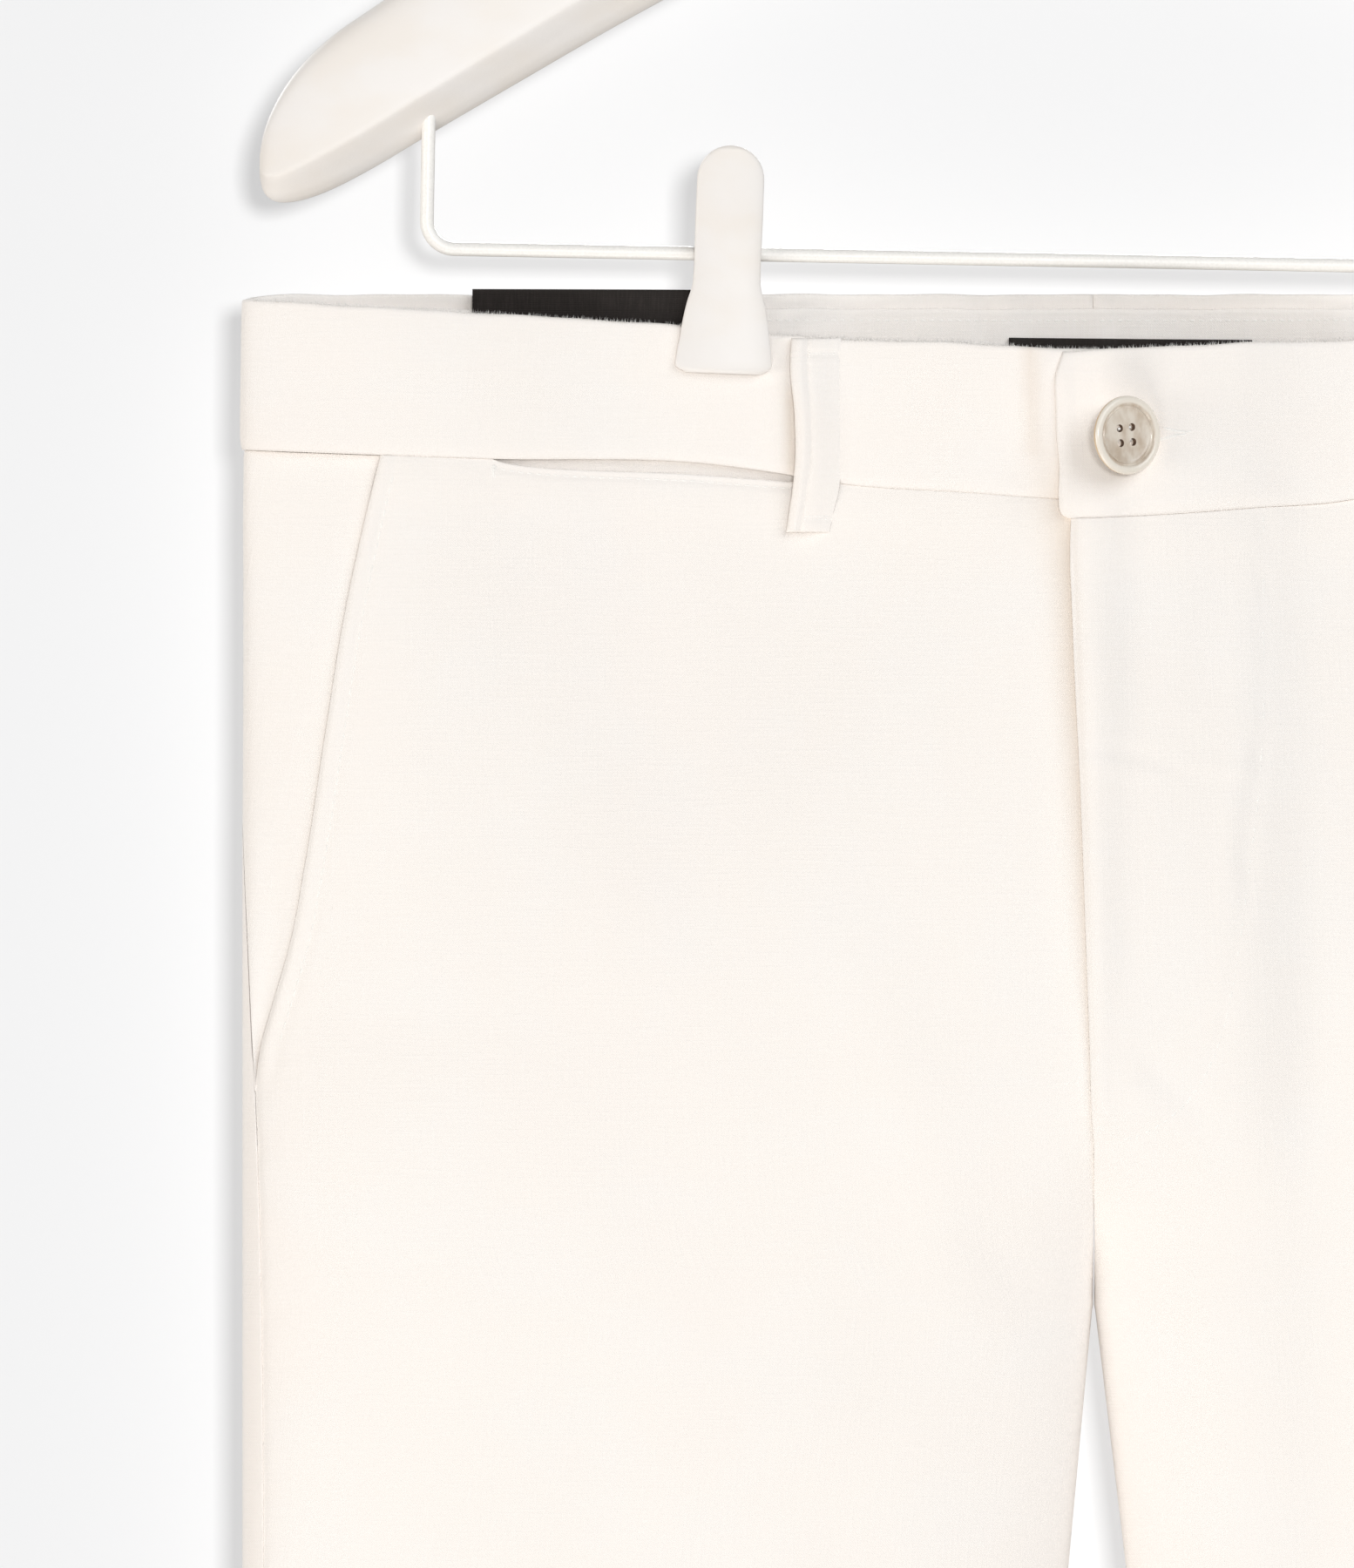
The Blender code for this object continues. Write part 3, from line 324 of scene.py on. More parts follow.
# Ends of the thread in each hole, from the upper right round by the left, in
# millimetres: across and up from the hole's middle, and out from the button's.
STRANDS = ((-0.45, 0.1, -0.1), (-0.2, 0.0, 0.15), (-0.45, 0.45, -0.9), (-0.4, 0.45, -0.4))
# Outline of the button's face and back: radius and height.
BUTTON_OUTLINE = {
    "radius": (
        0, 3.5, 6.0, 6.9, 7.25, 7.5, 7.75, 8.0, 8.5, 9.0, 9.5, 9.9, 10.05, 9.95, 9.6, 8.6, 5.0, 0
    ),
    "height": (
        1.4, 1.42, 1.55, 1.75, 2.05, 1.82, 2.02, 2.4, 2.62, 2.68, 2.58, 2.25, 1.75, 1.2, 0.7, 0.2, 0, 0
    ),
}
SHANK_RADIUS = 1.35 * MM
SHANK_CORE = 0.6 * MM

# ---- the hanger -----------------------------------------------------------------------
HANGER_TILT = math.radians(1.05)
HOOK_WIRE = 2.0 * MM
HOOK_BEND = 22.0 * MM
HOOK_END_TURN = math.radians(205)
HOOK_BACK_TURN = math.radians(60)
HOOK_FOOT = -88.0 * MM
ROD_WIRE = 1.75 * MM
ROD_HEIGHT = -226.3 * MM
ROD_HALF = 166.3 * MM
ROD_BEND = 7.2 * MM
ROD_TOP = -180.0 * MM
# The moulded body from its tip to its middle: outline and depths.
ARM = {
    "from_tip": (0.15, 0.8, 3.5, 9, 18, 29, 44, 66, 92, 123, 154, 183, 209.4),
    "top": (
        -203, -198.5, -190.7, -181.7, -172.6, -164.6, -153.9, -138.3, -120, -99.6, -83.2, -74.3, -72
    ),
    "bottom": (
        -208, -211.5, -214.8, -215.2, -212.2, -206.3, -197, -183.6, -168, -150.6, -134.2, -122.2, -117
    ),
    "front": (1.0, 2.0, 3.8, 5.4, 6.6, 7.2, 7.4, 7.4, 7.4, 7.2, 7.0, 7.0, 7.0),
    "back": (1.0, 2.0, 4.0, 6.0, 7.6, 8.4, 8.6, 8.6, 8.4, 8.0, 7.4, 7.0, 7.0),
}
# Section of the body, as shares of its depths and of its height, from the top round the
# front: a broad upper face, a soft ridge and a lower face that falls back to the rod.
ARM_SECTION = {
    "depth": (
        0.0, -0.28, -0.5, -0.66, -0.78, -0.88, -0.95, -0.985, -0.985, -0.93, -0.66, -0.3,
        0.06, 0.34, 0.6, 0.88, 1.0, 0.97, 0.85, 0.62, 0.3
    ),
    "drop": (
        0.0, 0.008, 0.05, 0.13, 0.26, 0.42, 0.58, 0.68, 0.72, 0.75, 0.805, 0.87,
        0.935, 0.975, 0.985, 0.88, 0.65, 0.45, 0.27, 0.11, 0.02
    ),
}
CLIPS = {
    "name": ("clip_right", "clip_left"),
    "along": (-89.3, 98.4),
    "lean": (1.15, -2.25),
}
CLIP_ABOVE_ROD = 27.6 * MM
CLIP_THICK = 2.0 * MM
CLIP_DOME = 8.55 * MM
CLIP_FOOT = 58.2 * MM           # from a plate's top to its jaw's end
CLIP_CROWN = 0.6 * MM
SLEEVE_RADIUS = 3.5 * MM
SLEEVE_HALF = 7.0 * MM
CLIP_PLATE = {
    "drop": (8.55, 14, 24, 31.5, 36, 40.4, 44.9, 49.8, 53.8, 56.8, 58.2),
    "half": (8.55, 8.6, 8.58, 8.55, 8.8, 10.0, 10.9, 11.55, 12.1, 12.0, 10.4),
    "stand": (6.4, 5.6, 4.2, 3.9, 3.8, 3.6, 3.4, 3.3, 3.3, 3.3, 3.3),
}
CLIP_TOP_STAND = 7.8 * MM
BACK_PLATE_EXTRA = 0.5 * MM

# ---- the studio -----------------------------------------------------------------------
PHOTO_MIDDLE = (-106.4 * MM, 0.0, -360.0 * MM)
CLOTH_FRONT = 12.0 * MM         # how far the cloth's front stands before the middle plane
STAGE_HALF = 6.0
STAGE_HEIGHT = -0.4
SKY_SEEN = 0.92
SKY_COLOUR = (1.0, 0.97, 0.94, 1.0)
PLAIN, COOL, WARM = (1.0, 1.0, 1.0), (0.94, 0.975, 1.0), (1.0, 0.96, 0.91)
# Each light stands at an offset from the photo's middle, in metres. Its strength is a
# setting's, and the stage is lit with the object, lit alone or spared.
LIGHTS = {
    "columns": ("name", "offset", "size", "strength", "colour", "stage"),
    "rows": (
        ("front_light", (0.05, -6.0, 0.08), 0.3, "front_light", PLAIN, "lit"),
        ("drop_light", (0.75, -6.0, 0.6), 0.8, "drop_light", PLAIN, "lit"),
        ("shadow_light", (0.75, -6.0, 0.6), 0.9, "shadow_light", PLAIN, "alone"),
        ("key_light", (2.2, -2.4, 1.7), 2.4, "key_light", COOL, "spared"),
        ("fill_light", (-3.1, -1.5, -0.3), 1.5, "fill_light", WARM, "spared"),
        ("low_light", (-0.6, -1.6, -2.6), 1.5, "low_light", WARM, "spared"),
        ("back_light", (0.6, 5.0, 1.2), 1.5, "back_light", PLAIN, "lit"),
        ("back_key_light", (-2.4, 2.2, 1.6), 1.3, "key_light", COOL, "spared"),
    ),
}

SIGN = {"right": -1.0, "left": 1.0}
ANGLE_STEP = 0.01
TINY = 1e-6


# ---- settings ------------------------------------------------------------------------
def colour_property(name, description, default):
    return bpy.props.FloatVectorProperty(
        name=name, description=description, default=default, subtype="COLOR", size=3, min=0, max=1
    )


def length_property(name, description, default):
    return bpy.props.FloatProperty(
        name=name, description=description, default=default, min=0.0, subtype="DISTANCE", unit="LENGTH"
    )


def factor_property(name, description, default, top=1.0):
    return bpy.props.FloatProperty(
        name=name, description=description, default=default, min=0.0, max=top, subtype="FACTOR"
    )


def light_property(name, description, default):
    return bpy.props.FloatProperty(name=name, description=description, default=default, min=0.0)


class ShortsCloth(bpy.types.PropertyGroup):
    linen: colour_property("Linen", "Colour of the linen", (0.938, 0.898, 0.862))
    # Colour of the weave's hollows: the yarns' darker tone together with painted shade in the hollows.
    shade: colour_property("Linen shade", "Colour deep in the weave", (0.922, 0.872, 0.825))
    warm: colour_property("Warm patches", "Colour of the linen's warm patches", (0.938, 0.882, 0.842))
    cool: colour_property("Cool patches", "Colour of the linen's cool patches", (0.918, 0.892, 0.868))
    # Painted shade: a warm darker tint that the linen multiplies in where the cloth is marked as tucking
    # under the loop, the tab and the fly.
    folded: colour_property("Folded under", "Tint of cloth that tucks under a fold", (0.80, 0.71, 0.61))
    thread: colour_property("Thread", "Colour of the topstitching", (0.985, 0.965, 0.93))
    label: colour_property("Label", "Colour of the satin labels", (0.016, 0.0125, 0.011))
    yarn: length_property("Yarn", "From one yarn of the weave to the next", 0.62 * MM)
    weave: length_property("Weave height", "Height of the weave's relief", 0.09 * MM)
    crease: factor_property("Creases", "How deep the small creases are", 1.0, 3.0)
    sway: factor_property("Sway", "How uneven the hung cloth is", 1.0, 3.0)


class ShortsTrim(bpy.types.PropertyGroup):
    pearl: colour_property("Button light", "Light clouds in the button", (0.76, 0.69, 0.60))
    horn: colour_property("Button dark", "Dark clouds in the button", (0.56, 0.46, 0.36))
    lip: colour_property("Button lip", "Raised lip round the button's face", (0.85, 0.79, 0.70))
    rim: colour_property("Button edge", "Edge of the button", (0.62, 0.45, 0.27))
    plastic: colour_property("Plastic", "Colour of the hanger and its clips", (0.89, 0.86, 0.835))
    coated: colour_property("Rod", "Colour of the coated rod", (0.97, 0.95, 0.915))
    steel: colour_property("Hook", "Colour of the steel hook", (0.66, 0.66, 0.67))


class ShortsStudio(bpy.types.PropertyGroup):
    wall: colour_property("Backdrop", "Colour of the backdrop and floor", (0.4, 0.4, 0.4))
    glow: factor_property("Backdrop glow", "Light that the backdrop gives by itself", 0.485)
    wall_gap: length_property("Backdrop gap", "From the object's back to the backdrop", 4 * MM)
    floor_gap: length_property("Floor gap", "From the hems down to the floor", 190 * MM)
    frame_height: length_property("Frame height", "Height that the picture shows", 400 * MM)
    distance: length_property("Camera distance", "From the cloth to the camera", 8.0)
    front_light: light_property("Front light", "Strength of the light beside the camera", 0.02)
    drop_light: light_property("Drop light", "Strength of the light at the camera's right", 0.275)
    shadow_light: light_property("Shadow light", "Strength of the light on the backdrop alone", 0.55)
    key_light: light_property("Key light", "Strength of the soft light from the right", 0.45)
    fill_light: light_property("Fill light", "Strength of the warm light from the left", 0.36)
    low_light: light_property("Low light", "Strength of the warm light from below", 0.40)
    back_light: light_property("Back light", "Strength of the light behind the object", 0.5)
    sky_light: light_property("Sky light", "Strength of the even light all round", 0.20)


# ---- small tools -----------------------------------------------------------------------
def table(rows, column):
    """One column of a table, in metres."""
    return np.array(rows[column], dtype=float) * MM


def rows_of(rows):
    """Each row of a table as a dictionary by its columns' names."""
    return [dict(zip(rows["columns"], values)) for values in rows["rows"]]


def follow(at, stations, values):
    """Smooth curve through a table's values: cubic pieces with shared slopes."""
    at = np.clip(at, stations[0], stations[-1])
    slopes = np.gradient(values, stations)
    low = np.clip(np.searchsorted(stations, at) - 1, 0, len(stations) - 2)
    step = stations[low + 1] - stations[low]
    t = (at - stations[low]) / step
    start = (1 + 2 * t) * (1 - t) ** 2 * values[low] + t * (1 - t) ** 2 * step * slopes[low]
    stop = t * t * (3 - 2 * t) * values[low + 1] + t * t * (t - 1) * step * slopes[low + 1]
    return start + stop


def read(rows, column, at, by="height"):
    """A table's column, in metres, followed smoothly by another of its columns."""
    return follow(at, table(rows, by), table(rows, column))


def ease(value, start, stop):
    """0 before start, 1 after stop, and a smooth S between."""
    t = np.clip((value - start) / (stop - start), 0.0, 1.0)
    return t * t * (3 - 2 * t)


def bell(distance, width):
    """1 on a line, falling away on both sides within a width."""
    return np.exp(-((distance / width) ** 2))


def both_ends(count, pull):
    """Steps from 0 to 1 that lie closer together at both ends."""
    t = np.linspace(0.0, 1.0, count)
    return t - pull * np.sin(2 * np.pi * t) / (2 * np.pi)


def spans(*parts):
    """Stations along several stretches, each with its own step: (start, stop, step)."""
    rows = [np.linspace(a, b, max(2, int(round(abs(b - a) / step)) + 1))[:-1] for a, b, step in parts]
    return np.concatenate([*rows, [parts[-1][1]]])


def unit(vectors):
    """Vectors of length 1."""
    return vectors / np.maximum(np.linalg.norm(vectors, axis=-1, keepdims=True), 1e-12)


def path_run(points):
    """The way run along lines of points, 0 at each start."""
    steps = np.linalg.norm(np.diff(points, axis=-2), axis=-1)
    return np.concatenate([np.zeros_like(steps[..., :1]), np.cumsum(steps, axis=-1)], axis=-1)


def beside_line(row, x, z):
    """The way along a row's line and aside from it, at points of a face, and its length."""
    start = np.array([row["from_x"], row["from_z"]]) * MM
    run = np.array([row["to_x"], row["to_z"]]) * MM - start
    length = math.hypot(*run)
    along = ((x - start[0]) * run[0] + (z - start[1]) * run[1]) / length
    aside = ((x - start[0]) * run[1] - (z - start[1]) * run[0]) / length
    return along, aside, length


def tilted(points, angle):
    """Points turned about Y by an angle."""
    cos, sin = math.cos(angle), math.sin(angle)
    x, y, z = np.moveaxis(points, -1, 0)
    return np.stack([x * cos + z * sin, y, z * cos - x * sin], axis=-1)


def finish_piece(piece, slot, *nodes):
    """Hang a finished piece on the body and hide the solids it stands for; slot is not used."""
    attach(piece, BODY)
    if nodes:
        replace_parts(piece, *nodes)
    return piece


def hang_cloth(piece, node, slot="linen"):
    """Finish a cloth piece, which hangs from the clips: hang it on the body and hide its solid."""
    finish_piece(piece, slot, node)
    return piece


def mesh_piece(name, points, faces, material, uv=None, smooth=True):
    """A mesh object from arrays: points, faces with one number of corners or a list of
    such arrays, and the cloth coordinates of each point."""
    groups = faces if isinstance(faces, list) else [faces]
    corners = np.concatenate([group.ravel() for group in groups]).astype(np.int32)
    sizes = np.concatenate([np.full(len(group), group.shape[1]) for group in groups])
    starts = np.concatenate([[0], np.cumsum(sizes)[:-1]]).astype(np.int32)
    mesh = bpy.data.meshes.new(name)
    mesh.vertices.add(len(points))
    mesh.vertices.foreach_set("co", points.astype(np.float32).ravel())
    mesh.loops.add(len(corners))
    mesh.loops.foreach_set("vertex_index", corners)
    mesh.polygons.add(len(starts))
    mesh.polygons.foreach_set("loop_start", starts)
    mesh.polygons.foreach_set("loop_total", sizes.astype(np.int32))
    if uv is not None:
        layer = mesh.uv_layers.new(name="cloth")
        layer.data.foreach_set("uv", uv[corners].astype(np.float32).ravel())
    mesh.update(calc_edges=True)
    if smooth:
        mesh.shade_smooth()
    mesh.materials.append(material)
    piece = bpy.data.objects.new(name, mesh)
    bpy.context.scene.collection.objects.link(piece)
    return piece


def mesh_points(mesh):
    """The mesh's points as an array."""
    points = np.zeros(len(mesh.vertices) * 3)
    mesh.vertices.foreach_get("co", points)
    return points.reshape(-1, 3)


def mark_points(mesh, name, values):
    """Write a number on each point, which a material reads by its name."""
    layer = mesh.attributes.new(name, "FLOAT", "POINT")
    layer.data.foreach_set("value", values.astype(np.float32))


def enclosed(points, triangles):
    """Six times a closed body's volume, below 0 where its faces point inwards."""
    first, second, third = np.moveaxis(points[triangles], 1, 0)
    return np.einsum("ij,ij->", first, np.cross(second, third))


def grid_quads(index):
    """Faces between the neighbours of a grid of point numbers."""
    quads = np.stack([index[:-1, :-1], index[:-1, 1:], index[1:, 1:], index[1:, :-1]], axis=-1)
    return quads.reshape(-1, 4)


def shell(name, outer, inner, uv, material, rounds=(0.1, 0.1, 0.1, 0.1)):
    """A thin cloth wall: a grid of points on its outer face, the same grid on its inner
    face, and a rounded rim. rounds is how far the rim bulges, in millimetres, at the
    first row, the last row, the first column and the last column."""
    rows, columns = outer.shape[:2]
    count = rows * columns
    index = np.arange(count).reshape(rows, columns)
    away = np.zeros_like(outer)
    away[0] += rounds[0] * MM * unit(outer[0] - outer[1])
    away[-1] += rounds[1] * MM * unit(outer[-1] - outer[-2])
    away[:, 0] += rounds[2] * MM * unit(outer[:, 0] - outer[:, 1])
    away[:, -1] += rounds[3] * MM * unit(outer[:, -1] - outer[:, -2])
    border = np.concatenate([index[0], index[1:, -1], index[-1, -2::-1], index[-2:0:-1, 0]])
    flat_outer, flat_inner = outer.reshape(-1, 3), inner.reshape(-1, 3)
    half = (flat_outer[border] - flat_inner[border]) / 2
    middle = flat_inner[border] + half
    turns = np.radians([40, 90, 140])[:, None, None]
    rings = middle + half * np.cos(turns) + away.reshape(-1, 3)[border] * np.sin(turns)
    edge = len(border)
    ring_index = 2 * count + np.arange(3 * edge).reshape(3, edge)
    belt = np.concatenate([border[None, :], ring_index, (border + count)[None, :]])
    after = np.roll(belt, -1, axis=1)
    rim = np.stack([after[:-1], belt[:-1], belt[1:], after[1:]], axis=-1).reshape(-1, 4)
    quads = grid_quads(index)
    faces = np.concatenate([quads, quads[:, ::-1] + count, rim])
    points = np.concatenate([flat_outer, flat_inner, rings.reshape(-1, 3)])
    corner = points[quads]
    normals = np.cross(corner[:, 2] - corner[:, 0], corner[:, 3] - corner[:, 1])
    if np.sum(normals * (points[quads] - points[quads + count]).mean(axis=1)) < 0:
        faces = faces[:, ::-1]
    flat_uv = uv.reshape(-1, 2)
    all_uv = np.concatenate([flat_uv, flat_uv, np.tile(flat_uv[border], (3, 1))])
    return mesh_piece(name, points, faces, material, all_uv)


def skin(name, rings, material, ends=(True, True)):
    """A closed body from rings of points, (rings, points round, 3): each ring joins the
    next, and each end closes on the middle of its ring. Faces point outwards."""
    count, around = rings.shape[:2]
    index = np.arange(count * around).reshape(count, around)
    wrapped = np.concatenate([index, index[:, :1]], axis=1)
    quads = grid_quads(wrapped)
    points = [rings.reshape(-1, 3)]
    caps = []
    for number, (ring, row) in enumerate(((rings[0], wrapped[0]), (rings[-1], wrapped[-1]))):
        if not ends[number]:
            continue
        centre = count * around + len(caps)
        points.append(ring.mean(axis=0)[None])
        fan = np.stack([row[1:], row[:-1], np.full(around, centre)], axis=-1)
        caps.append(fan if number == 0 else fan[:, ::-1])
    points = np.concatenate(points)
    triangles = np.concatenate([quads[:, [0, 1, 2]], quads[:, [0, 2, 3]], *caps])
    groups = [quads, *([np.concatenate(caps)] if caps else [])]
    if enclosed(points, triangles) < 0:
        groups = [group[:, ::-1] for group in groups]
    return mesh_piece(name, points, groups, material)


def tube(name, path, radius, material, sides=24):
    """A round wire along a path in the hanger's plane: rings square to the path, with
    domed ends."""
    along = unit(np.gradient(path, axis=0))
    binormal = np.array([0.0, 1.0, 0.0])
    normal = unit(np.cross(along, binormal))
    dome = np.radians(np.linspace(80, 0, 6))
    start = path[:1] - along[:1] * radius * np.sin(dome)[:, None]
    stop = path[-1:] + along[-1:] * radius * np.sin(dome[::-1])[:, None]
    centres = np.concatenate([start, path[1:-1], stop])
    rounded = radius * np.cos(dome)
    thick = np.concatenate([rounded, np.full(len(path) - 2, radius), rounded[::-1]])
    repeats = np.array([len(dome), *[1] * (len(path) - 2), len(dome)])
    normals = np.repeat(normal, repeats, axis=0)
    turn = np.linspace(0, 2 * np.pi, sides, endpoint=False)
    ring = normals[:, None] * np.cos(turn)[None, :, None] + binormal * np.sin(turn)[None, :, None]
    return skin(name, hanger_place(centres[:, None] + ring * thick[:, None, None]), material)


def hanger_place(points):
    """From the hanger's own frame to the world: a small turn about Y."""
    return tilted(points, HANGER_TILT)


def shade_folds(piece):
    """Mark the soft painted shade on a piece's points, which the linen multiplies into its colour: a bell
    across each line, with its width and depth changing along it."""
    x, _, z = mesh_points(piece.data).T
    shade = np.zeros_like(x)
    for row in rows_of(SHADES):
        along, aside, length = beside_line(row, x, z)
        share = along / length
        width = np.interp(share, (0, 1), (row["from_width"], row["to_width"])) * MM
        deep = np.interp(share, (0, 1), (row["from_deep"], row["to_deep"]))
        ends = ease(share, -0.12, 0.06) * (1 - ease(share, 0.94, 1.12))
        shade += deep * bell(aside, width) * ends
    mark_points(piece.data, "shade", shade)


# ---- shader tools ------------------------------------------------------------------------
class Link:
    """A socket in a material; Python's operators on it add Math nodes."""

    def __init__(self, finish, socket):
        self.finish = finish
        self.socket = socket

    def _math(self, operation, *values):
        return self.finish.node("ShaderNodeMath", {"operation": operation}, dict(enumerate(values)))

    def __add__(self, other):
        return self._math("ADD", self, other)

    def __sub__(self, other):
        return self._math("SUBTRACT", self, other)

    def __rsub__(self, other):
        return self._math("SUBTRACT", other, self)

    def __mul__(self, other):
        return self._math("MULTIPLY", self, other)

    __radd__ = __add__
    __rmul__ = __mul__

    def waves(self, length):
        """A sine of one wavelength."""
        return (self * (2 * math.pi / length)).sine()

    def sine(self):
        return self._math("SINE", self)

    def between(self, low, high):
        """0 at low, 1 at high, and a smooth S between."""
        values = {"Value": self, "From Min": low, "From Max": high}
        return self.finish.node("ShaderNodeMapRange", {"interpolation_type": "SMOOTHSTEP"}, values)


class Finish:
    """A new material with one Principled shader, and one method for any other node."""

    def __init__(self, name, **constants):
        self.material = bpy.data.materials.new(name)
        self.material.use_nodes = True
        self.tree = self.material.node_tree
        self.shader = self.tree.nodes["Principled BSDF"]
        for socket, value in constants.items():
            self.shader.inputs[socket.replace("_", " ")].default_value = value

    def node(self, kind, settings=None, values=None, output=0):
        """Add a node: its settings first, then its sockets' values or links."""
        made = self.tree.nodes.new(kind)
        for key, value in (settings or {}).items():
            setattr(made, key, value)
        for key, value in (values or {}).items():
            if isinstance(value, Link):
                self.tree.links.new(value.socket, made.inputs[key])
            else:
                made.inputs[key].default_value = value
        return Link(self, made.outputs[output])

    def feed(self, **links):
        """Link what varies to the shader's sockets."""
        for socket, link in links.items():
            self.tree.links.new(link.socket, self.shader.inputs[socket.replace("_", " ")])
        return self.material

    def spot(self):
        """Place in the object's own space."""
        return self.node("ShaderNodeTexCoord", output=3)

    def cloth_spot(self):
        """Place on the cloth: across along its rows, and up."""
        return self.node("ShaderNodeUVMap", {"uv_map": "cloth"})

    def parts(self, vector):
        """The three numbers of a vector."""
        split = self.node("ShaderNodeSeparateXYZ", values={0: vector}).socket.node
        return [Link(self, socket) for socket in split.outputs]

    def marked(self, name):
        """The number that mark_points wrote on a piece."""
        return self.node("ShaderNodeAttribute", {"attribute_name": name}, output=2)

    def mixed(self, factor, low, high, blend="MIX"):
        """A colour between two colours or links."""
        low, high = (value if isinstance(value, Link) else (*value, 1.0) for value in (low, high))
        settings = {"data_type": "RGBA", "blend_type": blend}
        return self.node("ShaderNodeMix", settings, {0: factor, 6: low, 7: high}, output=2)

    def scaled(self, vector, scale):
        return self.node("ShaderNodeVectorMath", {"operation": "MULTIPLY"}, {0: vector, 1: scale})

    def noise(self, vector, size, detail=2.0, roughness=0.5):
        """Clouds of about this size."""
        values = {"Vector": vector, "Scale": 1 / size, "Detail": detail, "Roughness": roughness}
        return self.node("ShaderNodeTexNoise", {}, values)

    def threads(self, vector, across, up, detail=2.5, roughness=0.6):
        """Clouds drawn out along one direction: their sizes across and up."""
        return self.noise(self.scaled(vector, (1 / across, 1 / up, 1.0)), 1.0, detail, roughness)

    def bump(self, height, distance, strength, normal=None):
        values = {"Height": height, "Distance": distance, "Strength": strength}
        if normal is not None:
            values["Normal"] = normal
        return self.node("ShaderNodeBump", {}, values)


def dimmed(colour, share):
    return tuple(share * part for part in colour)


# ---- materials ---------------------------------------------------------------------------
def linen_material(name):
    """Plain-woven linen: over and under yarns, thick slubs along both directions, slow mottling, a weave
    colour that darkens where its relief is low, partly the yarns' own tone and partly painted shade in its
    hollows, a warm painted shade where the cloth is marked as tucking under a loop, the tab or the fly, and
    small crumples that only the light shows."""
    look = bpy.context.scene.shorts_cloth
    finish = Finish(
        name, Roughness=0.92, Sheen_Weight=0.1, Sheen_Roughness=0.5, IOR=1.4, Specular_IOR_Level=0.25
    )
    spot = finish.cloth_spot()
    across, up, _ = finish.parts(spot)
    turn = 2 * math.pi / look.yarn
    wander = (finish.noise(spot, 11 * MM, 1.0) - 0.5) * 2.2
    weave = (across * turn + wander).sine() * (up * turn + wander).sine()
    warp_slub = finish.threads(spot, 0.9 * MM, 17 * MM)
    weft_slub = finish.threads(spot, 15 * MM, 0.8 * MM)
    slubs = warp_slub.between(0.42, 0.78) + weft_slub.between(0.40, 0.76)
    fine = finish.noise(spot, 0.5 * MM, 2.0, 0.6)
    mottle = finish.noise(spot, 38 * MM, 2.0, 0.55)
    patch = finish.noise(finish.scaled(spot, (1.0, 0.6, 1.0)), 95 * MM, 1.0)
    shown = 0.65 + mottle.between(0.42, 0.62) * 0.8
    # The weave's colour follows its relief: towards the deeper colour where the relief is low, the yarns' own
    # uneven tone together with painted shade in the weave's hollows.
    depth = 0.42 + (slubs * 0.26 + weave * 0.24) * shown + (fine - 0.5) * 0.5
    colour = finish.mixed(depth.between(-0.1, 0.9), look.shade, look.linen)
    warm = finish.mixed(0.35 * patch.between(0.35, 0.7), colour, look.warm)
    cool = finish.mixed(0.35 * mottle.between(0.45, 0.7), warm, look.cool)
    # Painted shade: the linen's colour multiplied by a warm darker tint where the cloth tucks under the loop,
    # the tab and the fly.
    painted_fold_shade = finish.mixed(finish.marked("shade"), cool, look.folded, "MULTIPLY")
    relief = weave * 0.5 + slubs * 0.9 + (fine - 0.5) * 0.7
    woven = finish.bump(relief, look.weave, 0.5)
    crumple = finish.noise(finish.scaled(spot, (1.0, 0.72, 1.0)), 9 * MM, 3.0, 0.6)
    return finish.feed(Base_Color=painted_fold_shade, Normal=finish.bump(crumple, 0.5 * MM, 0.16, woven))


def thread_material(name):
    """Twisted thread: fine slanting strands on each stitch."""
    look = bpy.context.scene.shorts_cloth
    finish = Finish(name, Roughness=0.8, Sheen_Weight=0.2)
    spot = finish.spot()
    across, _, up = finish.parts(spot)
    strands = (across + up).waves(0.35 * MM)
    mottle = finish.noise(spot, 1.5 * MM)
    colour = finish.mixed(mottle.between(0.3, 0.7), dimmed(look.thread, 0.95), look.thread)
    return finish.feed(Base_Color=colour, Normal=finish.bump(strands, 0.03 * MM, 0.4))


def satin_material(name):
    """Woven satin label: close ribs across, a faint sheen and no lettering."""
    look = bpy.context.scene.shorts_cloth
    finish = Finish(
        name, Roughness=0.6, Sheen_Weight=0.04, Sheen_Roughness=0.4, Specular_IOR_Level=0.2
    )
    spot = finish.cloth_spot()
    rib = finish.parts(spot)[1].waves(0.5 * MM)
    yarns = finish.threads(spot, 0.35 * MM, 6 * MM, 2.0, 0.5)
    light = tuple(min(1.0, 1.5 * part + 0.003) for part in look.label)
    colour = finish.mixed(yarns.between(0.35, 0.8), look.label, light)
    return finish.feed(Base_Color=colour, Normal=finish.bump(rib + yarns * 2, 0.06 * MM, 0.6))


